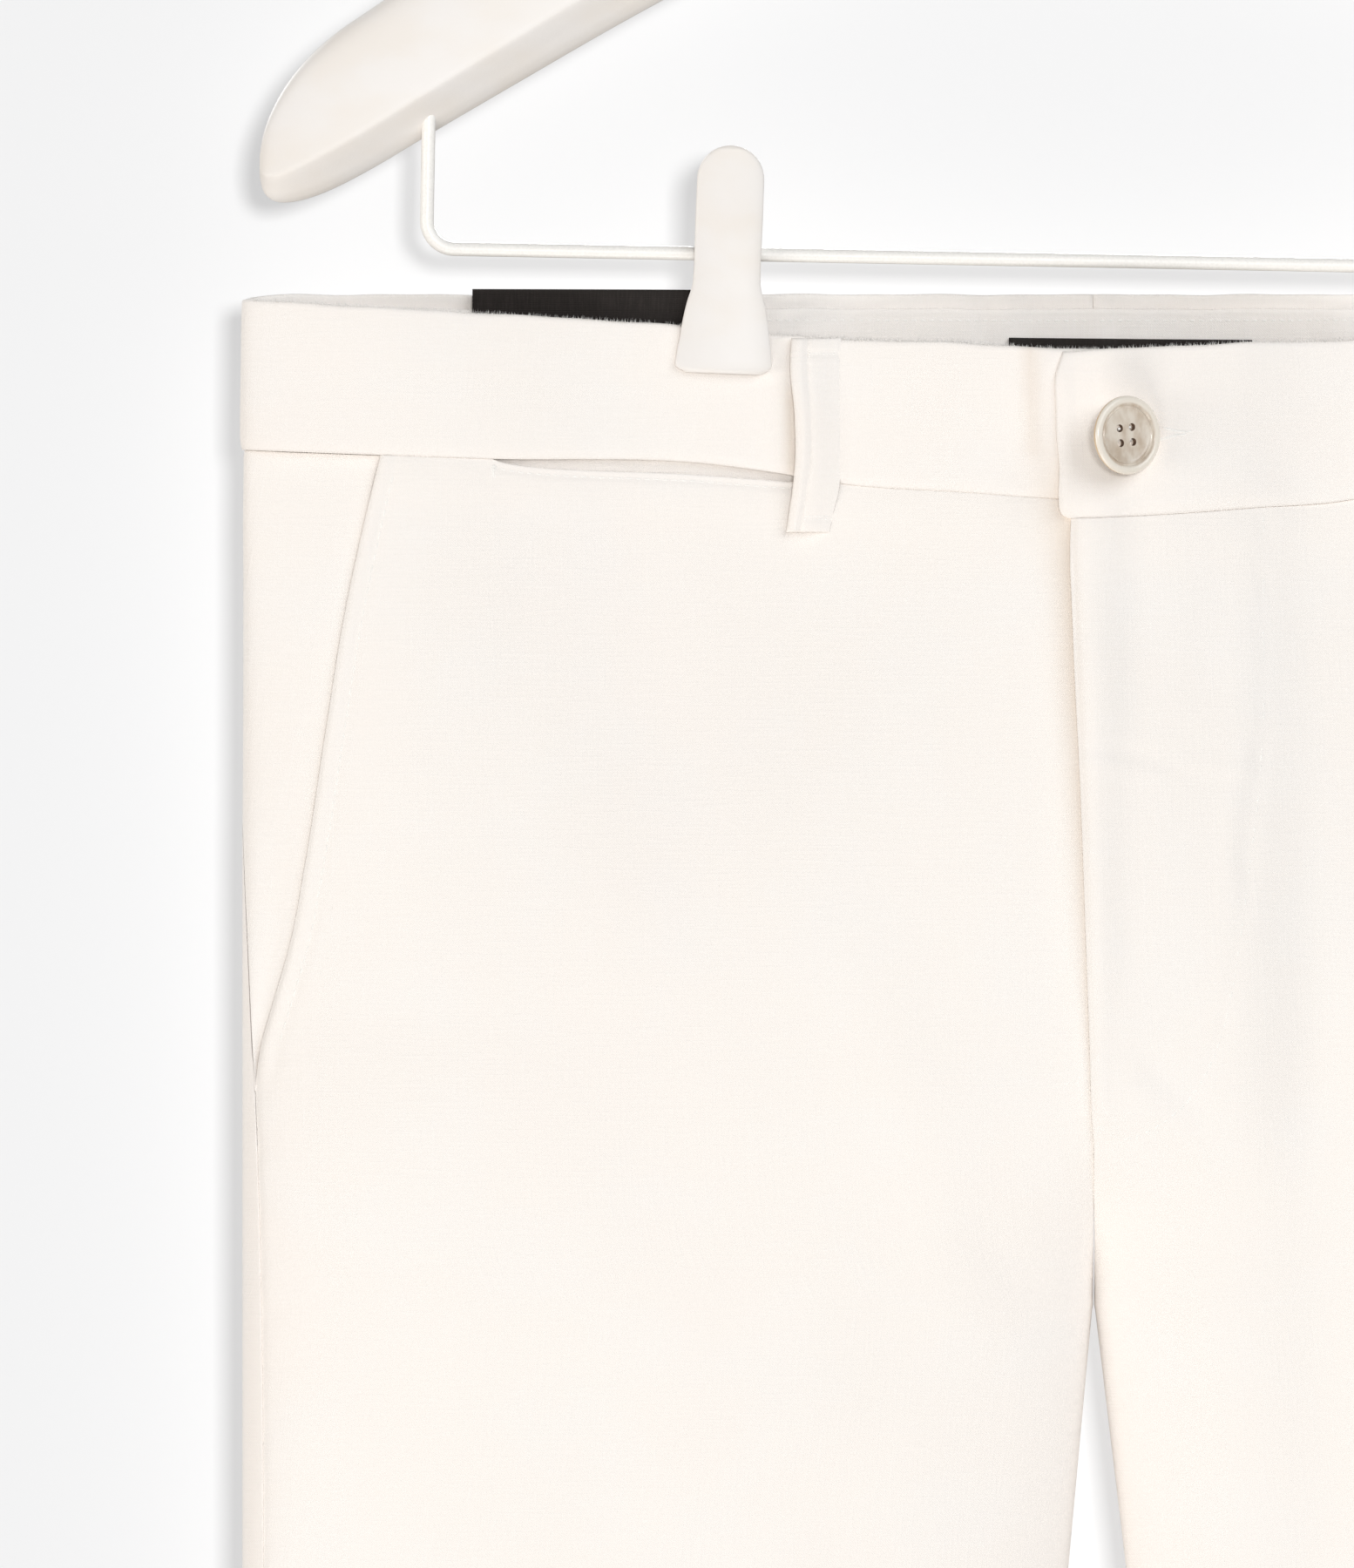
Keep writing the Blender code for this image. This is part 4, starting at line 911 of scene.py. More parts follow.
def pearl_material(name):
    """Polished corozo with pearly clouds and fine dark veins, a lighter lip round the face and a brown edge.
    """
    look = bpy.context.scene.shorts_trim
    finish = Finish(name, Roughness=0.22, Coat_Weight=0.35, Coat_Roughness=0.12, IOR=1.52)
    spot = finish.spot()
    cloud = finish.noise(finish.scaled(spot, (1.0, 0.5, 0.55)), 4.2 * MM, 3.0, 0.55)
    vein = finish.noise(finish.scaled(spot, (1.0, 0.4, 0.25)), 1.1 * MM, 4.0, 0.65)
    body = finish.mixed(cloud.between(0.36, 0.64), look.horn, look.pearl)
    streaked = finish.mixed(vein.between(0.6, 0.8) * 0.35, body, look.horn)
    edge = finish.marked("edge")
    light = finish.mixed(edge.between(0.3, 0.75), streaked, look.lip)
    colour = finish.mixed(edge.between(1.2, 1.9), light, look.rim)
    normal = finish.bump(vein, 0.02 * MM, 0.4)
    return finish.feed(Base_Color=colour, Roughness=0.2 + vein * 0.12, Normal=normal)


def bore_material(name):
    """Dark brown inside the button's holes: painted shade in the holes over the button's own brown, with a
    fine grain.
    """
    finish = Finish(name, Roughness=0.7)
    grain = finish.noise(finish.spot(), 0.5 * MM)
    colour = finish.mixed(grain.between(0.3, 0.7), (0.13, 0.075, 0.045), (0.22, 0.14, 0.09))
    return finish.feed(Base_Color=colour, Normal=finish.bump(grain, 0.05 * MM, 0.5))


def plastic_material(name):
    """Moulded white plastic: soft gloss, faint flow marks and a few rubbed patches. The clips' white is a
    little darker than the body's."""
    look = bpy.context.scene.shorts_trim
    white = dimmed(look.plastic, 0.955 if name == "clip_white" else 1.0)
    warm = tuple(part * share for part, share in zip(white, (0.985, 0.965, 0.935)))
    finish = Finish(name, Roughness=0.45, Coat_Weight=0.08, Coat_Roughness=0.3, IOR=1.45)
    spot = finish.spot()
    flow = finish.noise(finish.scaled(spot, (1.0, 1.0, 1.6)), 26 * MM, 3.0)
    rubbed = finish.noise(spot, 7 * MM, 4.0, 0.6)
    colour = finish.mixed(flow.between(0.35, 0.65), warm, white)
    normal = finish.bump(finish.noise(spot, 0.9 * MM) + flow * 6, 0.05 * MM, 0.5)
    return finish.feed(Base_Color=colour, Roughness=0.38 + rubbed * 0.16, Normal=normal)


def coated_material(name):
    """Dipped coating on the rod: soft orange-peel and tiny specks."""
    look = bpy.context.scene.shorts_trim
    finish = Finish(name, Roughness=0.38, Coat_Weight=0.2, IOR=1.48)
    spot = finish.spot()
    peel = finish.noise(spot, 1.8 * MM)
    speck = finish.noise(spot, 0.6 * MM, 1.0)
    colour = finish.mixed(speck.between(0.3, 0.8), look.coated, dimmed(look.coated, 0.94))
    normal = finish.bump(peel, 0.04 * MM, 0.5)
    return finish.feed(Base_Color=colour, Roughness=0.32 + peel * 0.12, Normal=normal)


def steel_material(name):
    """Plated steel wire: drawn lines, light haze."""
    look = bpy.context.scene.shorts_trim
    finish = Finish(name, Roughness=0.3, Metallic=1.0)
    spot = finish.spot()
    haze = finish.noise(spot, 4 * MM, 4.0, 0.6)
    drawn = finish.noise(finish.scaled(spot, (1.0, 9.0, 1.0)), 1.4 * MM)
    colour = finish.mixed(haze.between(0.3, 0.75), look.steel, dimmed(look.steel, 0.82))
    normal = finish.bump(drawn, 0.02 * MM, 0.5)
    return finish.feed(Base_Color=colour, Roughness=0.24 + haze * 0.2, Normal=normal)


def backdrop_material(name):
    """Pale matt paper that is seen from its front only, so that a view from behind the
    object looks through it."""
    look = bpy.context.scene.shorts_studio
    finish = Finish(
        name,
        Roughness=1.0,
        Specular_IOR_Level=0.0,
        Emission_Strength=look.glow,
        Emission_Color=(0.995, 1.0, 1.01, 1.0),
    )
    grain = finish.noise(finish.spot(), 3 * MM)
    finish.feed(Base_Color=finish.mixed(grain, look.wall, dimmed(look.wall, 0.995)))
    behind = finish.node("ShaderNodeNewGeometry", output=6)
    clear = finish.node("ShaderNodeBsdfTransparent")
    paper = Link(finish, finish.shader.outputs[0])
    seen = finish.node("ShaderNodeMixShader", {}, {0: behind, 1: paper, 2: clear})
    finish.tree.links.new(seen.socket, finish.tree.nodes["Material Output"].inputs["Surface"])
    return finish.material


MAKERS = {
    "woven_linen": linen_material,
    "topstitch_thread": thread_material,
    "label_satin": satin_material,
    "button_pearl": pearl_material,
    "button_bore": bore_material,
    "hanger_white": plastic_material,
    "clip_white": plastic_material,
    "rod_coating": coated_material,
    "hook_polish": steel_material,
    "studio_paper": backdrop_material,
}


def shared(name):
    """The material of that name, made the first time it is asked for."""
    return bpy.data.materials.get(name) or MAKERS[name](name)


# ---- the form of the cloth -----------------------------------------------------------------
def leg_lens(side, height):
    """Half width of the flattened oval that one half's section follows at a height: below
    the crotch a whole leg, above it an oval that grows past the centre plane. It grows
    with the cube of the climb, so the cloth at the centre comes forward evenly."""
    climb = np.clip((height - CROTCH_HEIGHT) / FORK_HEIGHT, 0.0, 1.0)
    reach = climb ** 3 * (2 + climb - 2 * climb ** 2)
    above = (HALF_WIDTH - SEAM / 2) / (2 - reach)
    inner = FORK_GAP / 2 + LEG_SPREAD[side] * (CROTCH_HEIGHT - height)
    return np.where(height < CROTCH_HEIGHT, (HALF_WIDTH - inner) / 2, above)


def angle_at(side, across, height):
    """Angle round the section, 0 at the side edge, where the cloth is this far across."""
    half = leg_lens(side, height)
    return np.arccos(np.clip((across - HALF_WIDTH + half) / half, -1.0, 1.0))


def creases(face, x, height):
    """Push of the folds and creases at points of one face: for each row a bell across
    its bowed line, easing out at both ends, with a counter fold beside it."""
    look = bpy.context.scene.shorts_cloth
    push = np.zeros_like(x)
    for row in rows_of(CREASES):
        if row["face"] != face:
            continue
        along, aside, length = beside_line(row, x, height)
        share = np.clip(along / length, 0.0, 1.0)
        aside = aside - row["bow"] * MM * 4 * share * (1 - share)
        ends = ease(along, -0.25 * length, 0.3 * length) * (1 - ease(along, 0.7 * length, 1.25 * length))
        width = row["width"] * MM
        fold = bell(aside, width) - row["lip"] * 0.6 * bell(aside - 1.9 * width, 1.2 * width)
        deep = 1.0 if abs(row["push"]) > LARGE_FOLD else look.crease
        push += deep * row["push"] * MM * ends * fold
    wave = np.zeros_like(x)
    shift, full = (0.0, 1.0) if face == "front" else (2.4, 1.9)
    for length, slant, start, high in zip(*SWAY.values()):
        turn = 2 * np.pi / (length * MM * math.hypot(1.0, slant))
        wave += high * MM * np.sin((x + slant * height) * turn + start + shift)
    return push + look.sway * full * wave


def section(side, angle, height):
    """Plan position of the panels' outer face: angle above 0 runs over the front."""
    angle, height = np.broadcast_arrays(angle, height)
    half = leg_lens(side, height)
    cosine = np.cos(angle)
    across = HALF_WIDTH - half + half * cosine
    swell = (1 - np.abs(cosine) ** ROUNDNESS) ** (1 / ROUNDNESS)
    front = angle > 0
    depth = swell * np.where(front, read(FORM, "front", height), read(FORM, "back", height))
    x = SIGN[side] * across
    pinch = 1 - ease(np.abs(np.abs(x) - CLIP_ACROSS), JAW_HALF, JAW_HALF + PINCH_EASE)
    uneven = 16 * MM * np.sin(x / (37 * MM)) + 9 * MM * np.sin(x / (16 * MM) + 1.3)
    pinch = pinch * ease(height + uneven * ease(-height, 0.30, 0.38), *PINCH_HEIGHTS)
    held = np.where(front, PINCH_FRONT, PINCH_BACK)
    depth = np.where(depth > held, held + (depth - held) * (1 - pinch), depth)
    push = np.where(front, creases("front", x, height), creases("back", x, height))
    calm = 1 - 0.85 * pinch
    depth = depth + push * swell ** 2 * calm
    return x, np.where(front, -depth, depth)


def half_turn(angle):
    """The same angle within half a turn of 0."""
    return angle - 2 * np.pi * np.round(angle / (2 * np.pi))


def section_run(side, angle, height):
    """Direction of the section at points of it, towards growing angles."""
    x_on, y_on = section(side, half_turn(angle + ANGLE_STEP), height)
    x_off, y_off = section(side, half_turn(angle - ANGLE_STEP), height)
    return x_on - x_off, y_on - y_off


def cloth(side, angle, height, out):
    """Points of the form, moved outwards in plan by a distance."""
    angle, height = np.broadcast_arrays(angle, height)
    x, y = section(side, angle, height)
    run_x, run_y = section_run(side, angle, height)
    run = np.hypot(run_x, run_y)
    x = x - SIGN[side] * run_y / run * out
    y = y + SIGN[side] * run_x / run * out
    return np.stack([x, y, height + 0 * x], axis=-1)


def cloth_faces(side, angle, height, out, thickness):
    """Outer and inner points of a wall, and its cloth coordinates: the way run along
    each row, and the height."""
    outer = cloth(side, angle, height, out)
    inner = cloth(side, angle, height, out - thickness)
    run = path_run(outer[..., :2])
    return outer, inner, np.stack([run - run[:, -1:], outer[..., 2]], axis=-1)


def seam_step(side, angle, height, toward):
    """Half a seam's gap along the section, towards growing (1) or falling (-1) angles."""
    run_x, run_y = section_run(side, angle, height)
    return toward * SEAM / 2 * unit(np.stack([run_x, run_y, 0 * run_x], axis=-1))


def lap_lift(past, height=None):
    """1 where the left half lies over the right, fading out across and at the fly's foot."""
    across = 1 - ease(past, *LIFT_FADE)
    return across if height is None else across * ease(height, *FLY_FADE)


def seam_drop(side, across):
    """How far the waist seam lies below its height at the side, going round the front."""
    return read(WAIST[side], "seam", across, "across") - SIDE_WAIST_SEAM


def coin_slit(across):
    """How far the front's edge dips below the waist seam along the coin pocket's slit."""
    t = np.clip((across - SLIT_START) / (SLIT_END - SLIT_START), 0.0, 1.0)
    return SLIT_DROP * np.sqrt(np.sin(np.pi * t).clip(0.0))


def back_seam_rise(angle):
    """How far the back's waist seam rises from the side to the centre."""
    return (BACK_SEAM - SIDE_WAIST_SEAM) * np.sin(np.clip(-angle, 0.0, np.pi / 2))


def side_seam_angle(side, height):
    """Angle of the side seam, which wanders from the front to the back of the side edge."""
    inset = read(SIDE_SEAM, "inset", height)
    return np.sign(inset) * angle_at(side, HALF_WIDTH - np.abs(inset), height)


def seam_fade(nominal):
    """1 at the waist seam, falling evenly to 0 where the rows lie level."""
    return np.clip(1 - (SIDE_WAIST_SEAM - nominal) / SEAM_FADE, 0.0, 1.0)


# ---- panels --------------------------------------------------------------------------------
def panel_rows():
    """Nominal heights of a panel's rows, closer at the waist seam, the crotch and the hem."""
    return spans(
        (SIDE_WAIST_SEAM, SIDE_WAIST_SEAM - 4 * MM, 0.5 * MM),
        (SIDE_WAIST_SEAM - 4 * MM, MOUTH_FOOT, 2.3 * MM),
        (MOUTH_FOOT, CROTCH_HEIGHT - 6 * MM, 1.6 * MM),
        (CROTCH_HEIGHT - 6 * MM, HEM_LINE + 3 * MM, 2.7 * MM),
        (HEM_LINE + 3 * MM, HEM_LINE - 3 * MM, 0.6 * MM),
        (HEM_LINE - 3 * MM, HEM_HEIGHT + 2 * MM, 2.7 * MM),
        (HEM_HEIGHT + 2 * MM, HEM_HEIGHT, 0.5 * MM),
    )


def hem_relief(height):
    """The turned-up hem stands proud below its stitching, which draws a furrow."""
    swell = HEM_EXTRA * (1 - ease(height, HEM_LINE - 1.5 * MM, HEM_LINE + 0.8 * MM))
    return swell - 0.4 * MM * bell(height - HEM_LINE, 1.3 * MM)


def pucker(run, depth):
    """Small uneven waves along a sewn seam."""
    return depth * (0.6 * np.sin(run / (2.3 * MM)) + 0.4 * np.sin(run / (3.7 * MM) + 1.0))


def path_distance(x, z, path):
    """Distance of points from a line of straight runs: the nearest of all runs."""
    best = np.inf
    for start, stop in zip(path[:-1], path[1:]):
        run = stop - start
        t = np.clip(((x - start[0]) * run[0] + (z - start[1]) * run[1]) / (run @ run), 0.0, 1.0)
        best = np.minimum(best, np.hypot(x - start[0] - t * run[0], z - start[1] - t * run[1]))
    return best


def mouth_across(height):
    """How far from the centre the pocket's mouth lies at a height."""
    return read(MOUTH, "across", height)


def waist_relief(across, down):
    """Below the waist seam: the cloth drawn in at it, full below it, and puckered."""
    out = -0.16 * MM * bell(down, 1.2 * MM) + 0.25 * MM * bell(down - 6 * MM, 5 * MM)
    return out + pucker(across, 0.10 * MM) * bell(down - 2 * MM, 4 * MM)


def front_relief(side, across, height):
    """How far the front's outer face leaves the form: seams drawn in, stitched valleys,
    the fly's lap and the hem."""
    down = SIDE_WAIST_SEAM + seam_drop(side, across) - height
    if side == "right":
        down = down - coin_slit(across)
    out = waist_relief(across, down)
    mouth = mouth_across(height) - across
    above = ease(height, MOUTH_FOOT, MOUTH_FOOT + 6 * MM)
    valley = bell(mouth - MOUTH_STITCH, 1.5 * MM) * (0.8 + 0.2 * np.sin(height / (6 * MM)))
    out = out - above * 0.28 * MM * valley + above * 0.2 * MM * bell(mouth - 2 * MM, 1.6 * MM)
    out = out - above * 0.42 * MM * bell(mouth, 0.9 * MM)
    side_seam = HALF_WIDTH - read(SIDE_SEAM, "inset", height) - across
    out = out - (1 - above) * 0.3 * MM * bell(side_seam, 1.2 * MM)
    out = out + (1 - above) * pucker(height, 0.12 * MM) * bell(side_seam - 2 * MM, 4 * MM)
    if side == "left":
        sewn = np.stack([table(FLY_STITCH, "x"), table(FLY_STITCH, "z")], axis=-1)
        fly = path_distance(across, height, sewn)
        out = out - 0.3 * MM * bell(fly, 0.9 * MM) + pucker(height, 0.08 * MM) * bell(fly, 4 * MM)
        edge = across + read(FLY, "past", height)
        open_edge = ease(height, FLY_FOOT, FLY_FOOT + 12 * MM)
        out = out - open_edge * (0.62 * MM * bell(edge, 1.0 * MM) - 0.2 * MM * bell(edge - 3 * MM, 2 * MM))
        out = out + FLY_LIFT * lap_lift(across, height)
    else:
        slit = (SLIT_START < across) & (across < SLIT_END)
        out = out - 0.25 * MM * bell(down - 1.6 * MM, 0.8 * MM) * slit
    return out + hem_relief(height)


def panel_thickness(height):
    """One layer, and two in the turned-up hem."""
    extra = np.where(height > HEM_LINE, 0.0, HEM_EXTRA)
    return PANEL + extra + (PANEL - HEM_EXTRA) * (1 - ease(height, HEM_LINE - 0.3 * MM, HEM_LINE + 0.3 * MM))


def part_at_seams(faces, side, angle, height, turn, leg=False):
    """Draw a panel's first column back from its side seam by half the gap, and its last
    one from the inseam on the rows of the leg. turn is 1 on a front and -1 on a back."""
    side_seam = seam_step(side, angle[:, 0], height[:, 0], turn)
    inseam = seam_step(side, angle[:, -1], height[:, -1], -turn) * np.reshape(leg, (-1, 1))
    for points in faces[:2]:
        points[:, 0] += side_seam
        points[:, -1] += inseam


def front_panel(side):
    """A front: rows from the waist seam to the hem, columns from the side inwards."""
    nominal = panel_rows()
    u = both_ends(PANEL_COLUMNS, 0.72)
    outer = side_seam_angle(side, nominal)
    outer = np.where(nominal > MOUTH_FOOT + TINY, angle_at(side, mouth_across(nominal), nominal), outer)
    past = np.full_like(nominal, -SEAM / 2)
    if side == "left":
        past = np.where(nominal > FLY_FOOT - TINY, read(FLY, "past", nominal), past)
    above_fork = nominal > CROTCH_HEIGHT + TINY
    inner = np.where(above_fork, angle_at(side, -past, nominal), np.pi)
    angle = outer[:, None] + (inner - outer)[:, None] * u
    across = SIGN[side] * section(side, angle, nominal[:, None])[0]
    fade = seam_fade(nominal)[:, None]
    height = nominal[:, None] + seam_drop(side, across) * fade - SEAM / 2 * (fade == 1)
    if side == "right":
        height = height - coin_slit(across) * fade ** 4
    faces = cloth_faces(side, angle, height, front_relief(side, across, height), panel_thickness(height))
    part_at_seams(faces, side, angle, height, 1, ~above_fork)
    return shell(f"linen_front_{side}", *faces, shared("woven_linen"), (0.25, 0.55, 0.3, 0.2))


def back_relief(angle, across, height):
    """How far a back's outer face leaves the form: its waist seam, the seam down its
    centre and the hem."""
    out = waist_relief(across, SIDE_WAIST_SEAM + back_seam_rise(angle) - height)
    centre = ease(height, CROTCH_HEIGHT, CROTCH_HEIGHT + 12 * MM)
    out = out - centre * 0.35 * MM * bell(across, 1.3 * MM)
    out = out + centre * (0.2 * MM + pucker(height, 0.12 * MM)) * bell(across - 5 * MM, 4 * MM)
    return out + hem_relief(height)


def back_panel(side):
    """A back: rows from the waist seam to the hem, columns from the side to the centre."""
    nominal = panel_rows()
    u = both_ends(PANEL_COLUMNS, 0.72)
    outer = side_seam_angle(side, nominal)
    above_fork = nominal > CROTCH_HEIGHT + TINY
    inner = np.where(above_fork, angle_at(side, SEAM / 2, nominal), np.pi - TINY)
    angle = outer[:, None] - (inner + outer)[:, None] * u
    fade = seam_fade(nominal)[:, None]
    height = nominal[:, None] + back_seam_rise(angle) * fade - SEAM / 2 * (fade == 1)
    across = SIGN[side] * section(side, angle, height)[0]
    relief = back_relief(angle, across, height)
    faces = cloth_faces(side, angle, height, relief, panel_thickness(height))
    part_at_seams(faces, side, angle, height, -1, ~above_fork)
    return shell(f"linen_back_{side}", *faces, shared("woven_linen"), (0.25, 0.55, 0.15, 0.2))


def pocket_facing(side):
    """The side panel: from the side seam to behind the front's slanted mouth."""
    near = SIDE_WAIST_SEAM - 4 * MM
    nominal = spans((SIDE_WAIST_SEAM, near, 0.6 * MM), (near, FACING_FOOT, 2 * MM))
    u = both_ends(44, 0.4)
    mouth = mouth_across(nominal)
    outer = side_seam_angle(side, nominal)[:, None]
    inner = angle_at(side, mouth - POCKET_UNDER, nominal)[:, None]
    mouth_angle = np.maximum(angle_at(side, mouth, nominal)[:, None], outer + 0.03)
    angle = outer + (inner - outer) * u
    across = SIGN[side] * section(side, angle, nominal[:, None])[0]
    fade = seam_fade(nominal)[:, None]
    drop = np.where(angle > 0, seam_drop(side, across), back_seam_rise(angle))
    height = nominal[:, None] + drop * fade - SEAM / 2 * (fade == 1)
    sink = (PANEL + LAYER) * ease(angle, outer, outer + 0.8 * (mouth_angle - outer))
    down = SIDE_WAIST_SEAM + drop - height
    waves = 0.12 * MM * np.sin(height / (7 * MM)) * bell(down - 12 * MM, 14 * MM)
    dip = -0.25 * MM * bell(down, 1.3 * MM) + waves
    faces = cloth_faces(side, angle, height, dip - sink, PANEL)
    part_at_seams(faces, side, angle, height, 1)
    return shell(f"linen_pocket_facing_{side}", *faces, shared("woven_linen"))


def fly_underlap():
    """The underlap: across from the edge of the lap to the centre, down from the waist
    seam to its foot."""
    past = np.linspace(LIFT_FADE[0] - 2 * MM, SEAM / 2, 24)[None, :]
    foot = np.linspace(0.0, 1.0, 70)[:, None]
    top = seam_drop("left", past) + SIDE_WAIST_SEAM - SEAM / 2
    height = top + (UNDERLAP_FOOT - top) * foot
    faces = cloth_faces("left", angle_at("left", past, height), height, 0.0, PANEL)
    return shell("linen_fly_underlap", *faces, shared("woven_linen"))


def coin_pocket():
    """The strip behind the coin pocket's slit, on both sides of the waist seam."""
    across = np.linspace(SLIT_START - 2 * MM, SLIT_END + 3 * MM, 60)[None, :]
    seam = seam_drop("right", across) + SIDE_WAIST_SEAM
    height = seam + np.linspace(COIN_TOP, -COIN_DROP, 18)[:, None]
    behind = BAND - BAND_PROUD + LAYER
    faces = cloth_faces("right", angle_at("right", across, height), height, -behind, FACING)
    return shell("linen_coin_pocket", *faces, shared("woven_linen"))


# ---- waistband ---------------------------------------------------------------------------------
def band_edges(side, across, angle):
    """Top and lower edge of the waistband at points round one half."""
    round_side = ease(-angle, 0.0, 0.35)
    back_top = SIDE_TOP * (1 - round_side) + BACK_TOP * round_side
    top = np.where(angle > 0, read(WAIST[side], "top", across, "across"), back_top)
    front_seam = read(WAIST[side], "seam", across, "across")
    seam = np.where(angle > 0, front_seam, SIDE_WAIST_SEAM + back_seam_rise(angle))
    return top, seam + SEAM / 2


def band_relief(side, across, t, high):
    """A folded band: drawn in at its seam, a little full between, uneven along its top."""
    up = (1 - t) * high
    full = 0.30 * MM * (1 - (2 * t - 1) ** 4)
    seam = -BAND_ROLL[side] * bell(up, 1.3 * MM)
    waves = 0.22 * MM * np.sin(across / (13 * MM) + 3 * t) + 0.14 * MM * np.sin(across / (7.1 * MM) - 2 * t)
    return full + seam + pucker(across, 0.09 * MM) * bell(up - 2 * MM, 3.5 * MM) + waves * (1 - 0.3 * t)


def band_faces(side, start, stop, out, thickness, inset, columns, rows, outside=False):
    """A strip along the band between two angles; start may change from row to row. Its
    outside has the band's relief and, on the tab's end, a rolled edge and its stitching."""
    t = both_ends(rows, 0.6)[:, None]
    angle = start + (stop - start) * np.linspace(0.0, 1.0, columns)[None, :]
    across = SIGN[side] * section(side, angle, BACK_TOP)[0]
    top, seam = band_edges(side, across, angle)
    ragged = 0.10 * MM * np.sin(across / (5.3 * MM)) + 0.08 * MM * np.sin(across / (2.9 * MM) + 1.0)
    height = (top - inset) * (1 - t) + seam * t + ragged * (1 - t)
    if side == "left":
        out = out + TAB_LIFT * lap_lift(across) * (angle > 0)
    if outside:
        up = (1 - t) * (top - seam)
        if side == "left":
            step = (TAB_LIFT + BAND_PROUD - FLY_LIFT) * lap_lift(across) * (angle > 0)
            out = out - step * bell(up, 2.0 * MM)
        out = out + band_relief(side, across, t, top - seam)
        end = np.where(angle > 0, across - across[:, :1], 1.0)
        out = out - 0.5 * MM * bell(end, 0.9 * MM) + 0.15 * MM * bell(end - 1.2 * MM, 0.9 * MM)
        out = out - 0.26 * MM * bell(end - 2.6 * MM, 0.8 * MM)
    return cloth_faces(side, angle, height, out, thickness)


def band_thickness(angle):
    """Full over the front, thinner over the back, where the facing is its own piece."""
    return BAND_BACK + (BAND - BAND_BACK) * ease(angle, -0.25, -0.05)


def waistband(side):
    """One half, from its front end round the side to the centre back."""
    past = np.full(BAND_ROWS, UNDERLAP_END)
    if side == "left":
        shares = np.array(TAB_END["share"])
        past = follow(both_ends(BAND_ROWS, 0.6), shares, table(TAB_END, "past"))
    start = angle_at(side, -past, BACK_TOP)[:, None]
    stop = -angle_at(side, SEAM / 2, BACK_TOP)
    angle = start + (stop - start) * np.linspace(0.0, 1.0, BAND_COLUMNS)[None, :]
    shape = BAND_PROUD, band_thickness(angle), TOP_ROLL, BAND_COLUMNS, BAND_ROWS
    faces = band_faces(side, start, stop, *shape, outside=True)
    return shell(f"linen_waistband_{side}", *faces, shared("woven_linen"), (0.7, 0.15, 0.6, 0.16))


def waistband_facing():
    """The facing's back stretch, one strip from side to side."""
    out = BAND_PROUD - BAND_BACK - LAYER
    stop = -angle_at("right", 0.0, BACK_TOP)
    start = -angle_at("right", FACING_REACH, BACK_TOP)
    halves = [band_faces(side, start, stop, out, FACING, FACING_TOP, 150, 16) for side in SIGN]
    faces = [np.concatenate([right, left[:, -2::-1]], axis=1) for right, left in zip(*halves)]
    return shell("linen_waistband_facing", *faces, shared("woven_linen"), (0.4, 0.1, 0.1, 0.1))


def label(row):
    """A blank satin label inside the back of the waistband: a grid across and down, a
    little out of level."""
    inside = BAND_BACK + LAYER + FACING + SEAM - BAND_PROUD
    start, width, top, fall, high = (LABELS[key][row] * MM for key in LABELS if key != "name")
    x = np.linspace(start, start + width, 64)[None, :]
    height = np.linspace(top, top - high, 26)[:, None] - fall * (x - start) / width
    side = "right" if x.mean() < -HALF_WIDTH / 4 else "left"
    angle = -angle_at(side, SIGN[side] * x, height)
    outer = cloth(side, angle, height, -inside)
    inner = cloth(side, angle, height, -inside - LABEL)
    uv = np.stack(np.broadcast_arrays(x, height), axis=-1)
    name = "satin_" + LABELS["name"][row]
    return shell(name, outer, inner, uv, shared("label_satin"), (0.45, 0.3, 0.3, 0.3))


# ---- belt loops -----------------------------------------------------------------------------------
def loop_middle(row):
    """Side, sign of the face, top and foot heights of a loop, and its place across."""
    side = LOOPS["side"][row]
    front = LOOPS["face"][row] == "front"
    middle = LOOPS["across"][row] * MM
    top, foot = BACK_TOP, BACK_SEAM
    if front:
        top, foot = (read(WAIST[side], edge, middle, "across") for edge in ("top", "seam"))
    return side, front, middle, top - LOOP_TOP, foot - LOOP_BELOW


def loop_point(row, share, aside, out):
    """A point of a loop: share runs from its top to its foot, aside from its edge (-1) to
    its other edge (1), and out lifts it off the loop's own inner face."""
    side, front, middle, top, foot = loop_middle(row)
    shares = np.array(LOOP_SHAPE["share"], dtype=float)
    lean = follow(share, shares, table(LOOP_SHAPE, "aside"))
    width = follow(share, shares, table(LOOP_SHAPE, "width"))
    across = middle + lean + aside * width / 2
    height = top + (foot - top) * share
    angle = angle_at(side, across, height) * (1 if front else -1)
    arch = LOOP_REST + LOOP_ARCH * np.sin(np.pi * share).clip(0.0) ** 0.7
    arch = arch * (0.22 + 0.78 * ease(aside, -1.1, 0.8))
    lift = TAB_LIFT * lap_lift(across) * (angle > 0) * (side == "left")
    return cloth(side, angle, height, arch + lift + out)


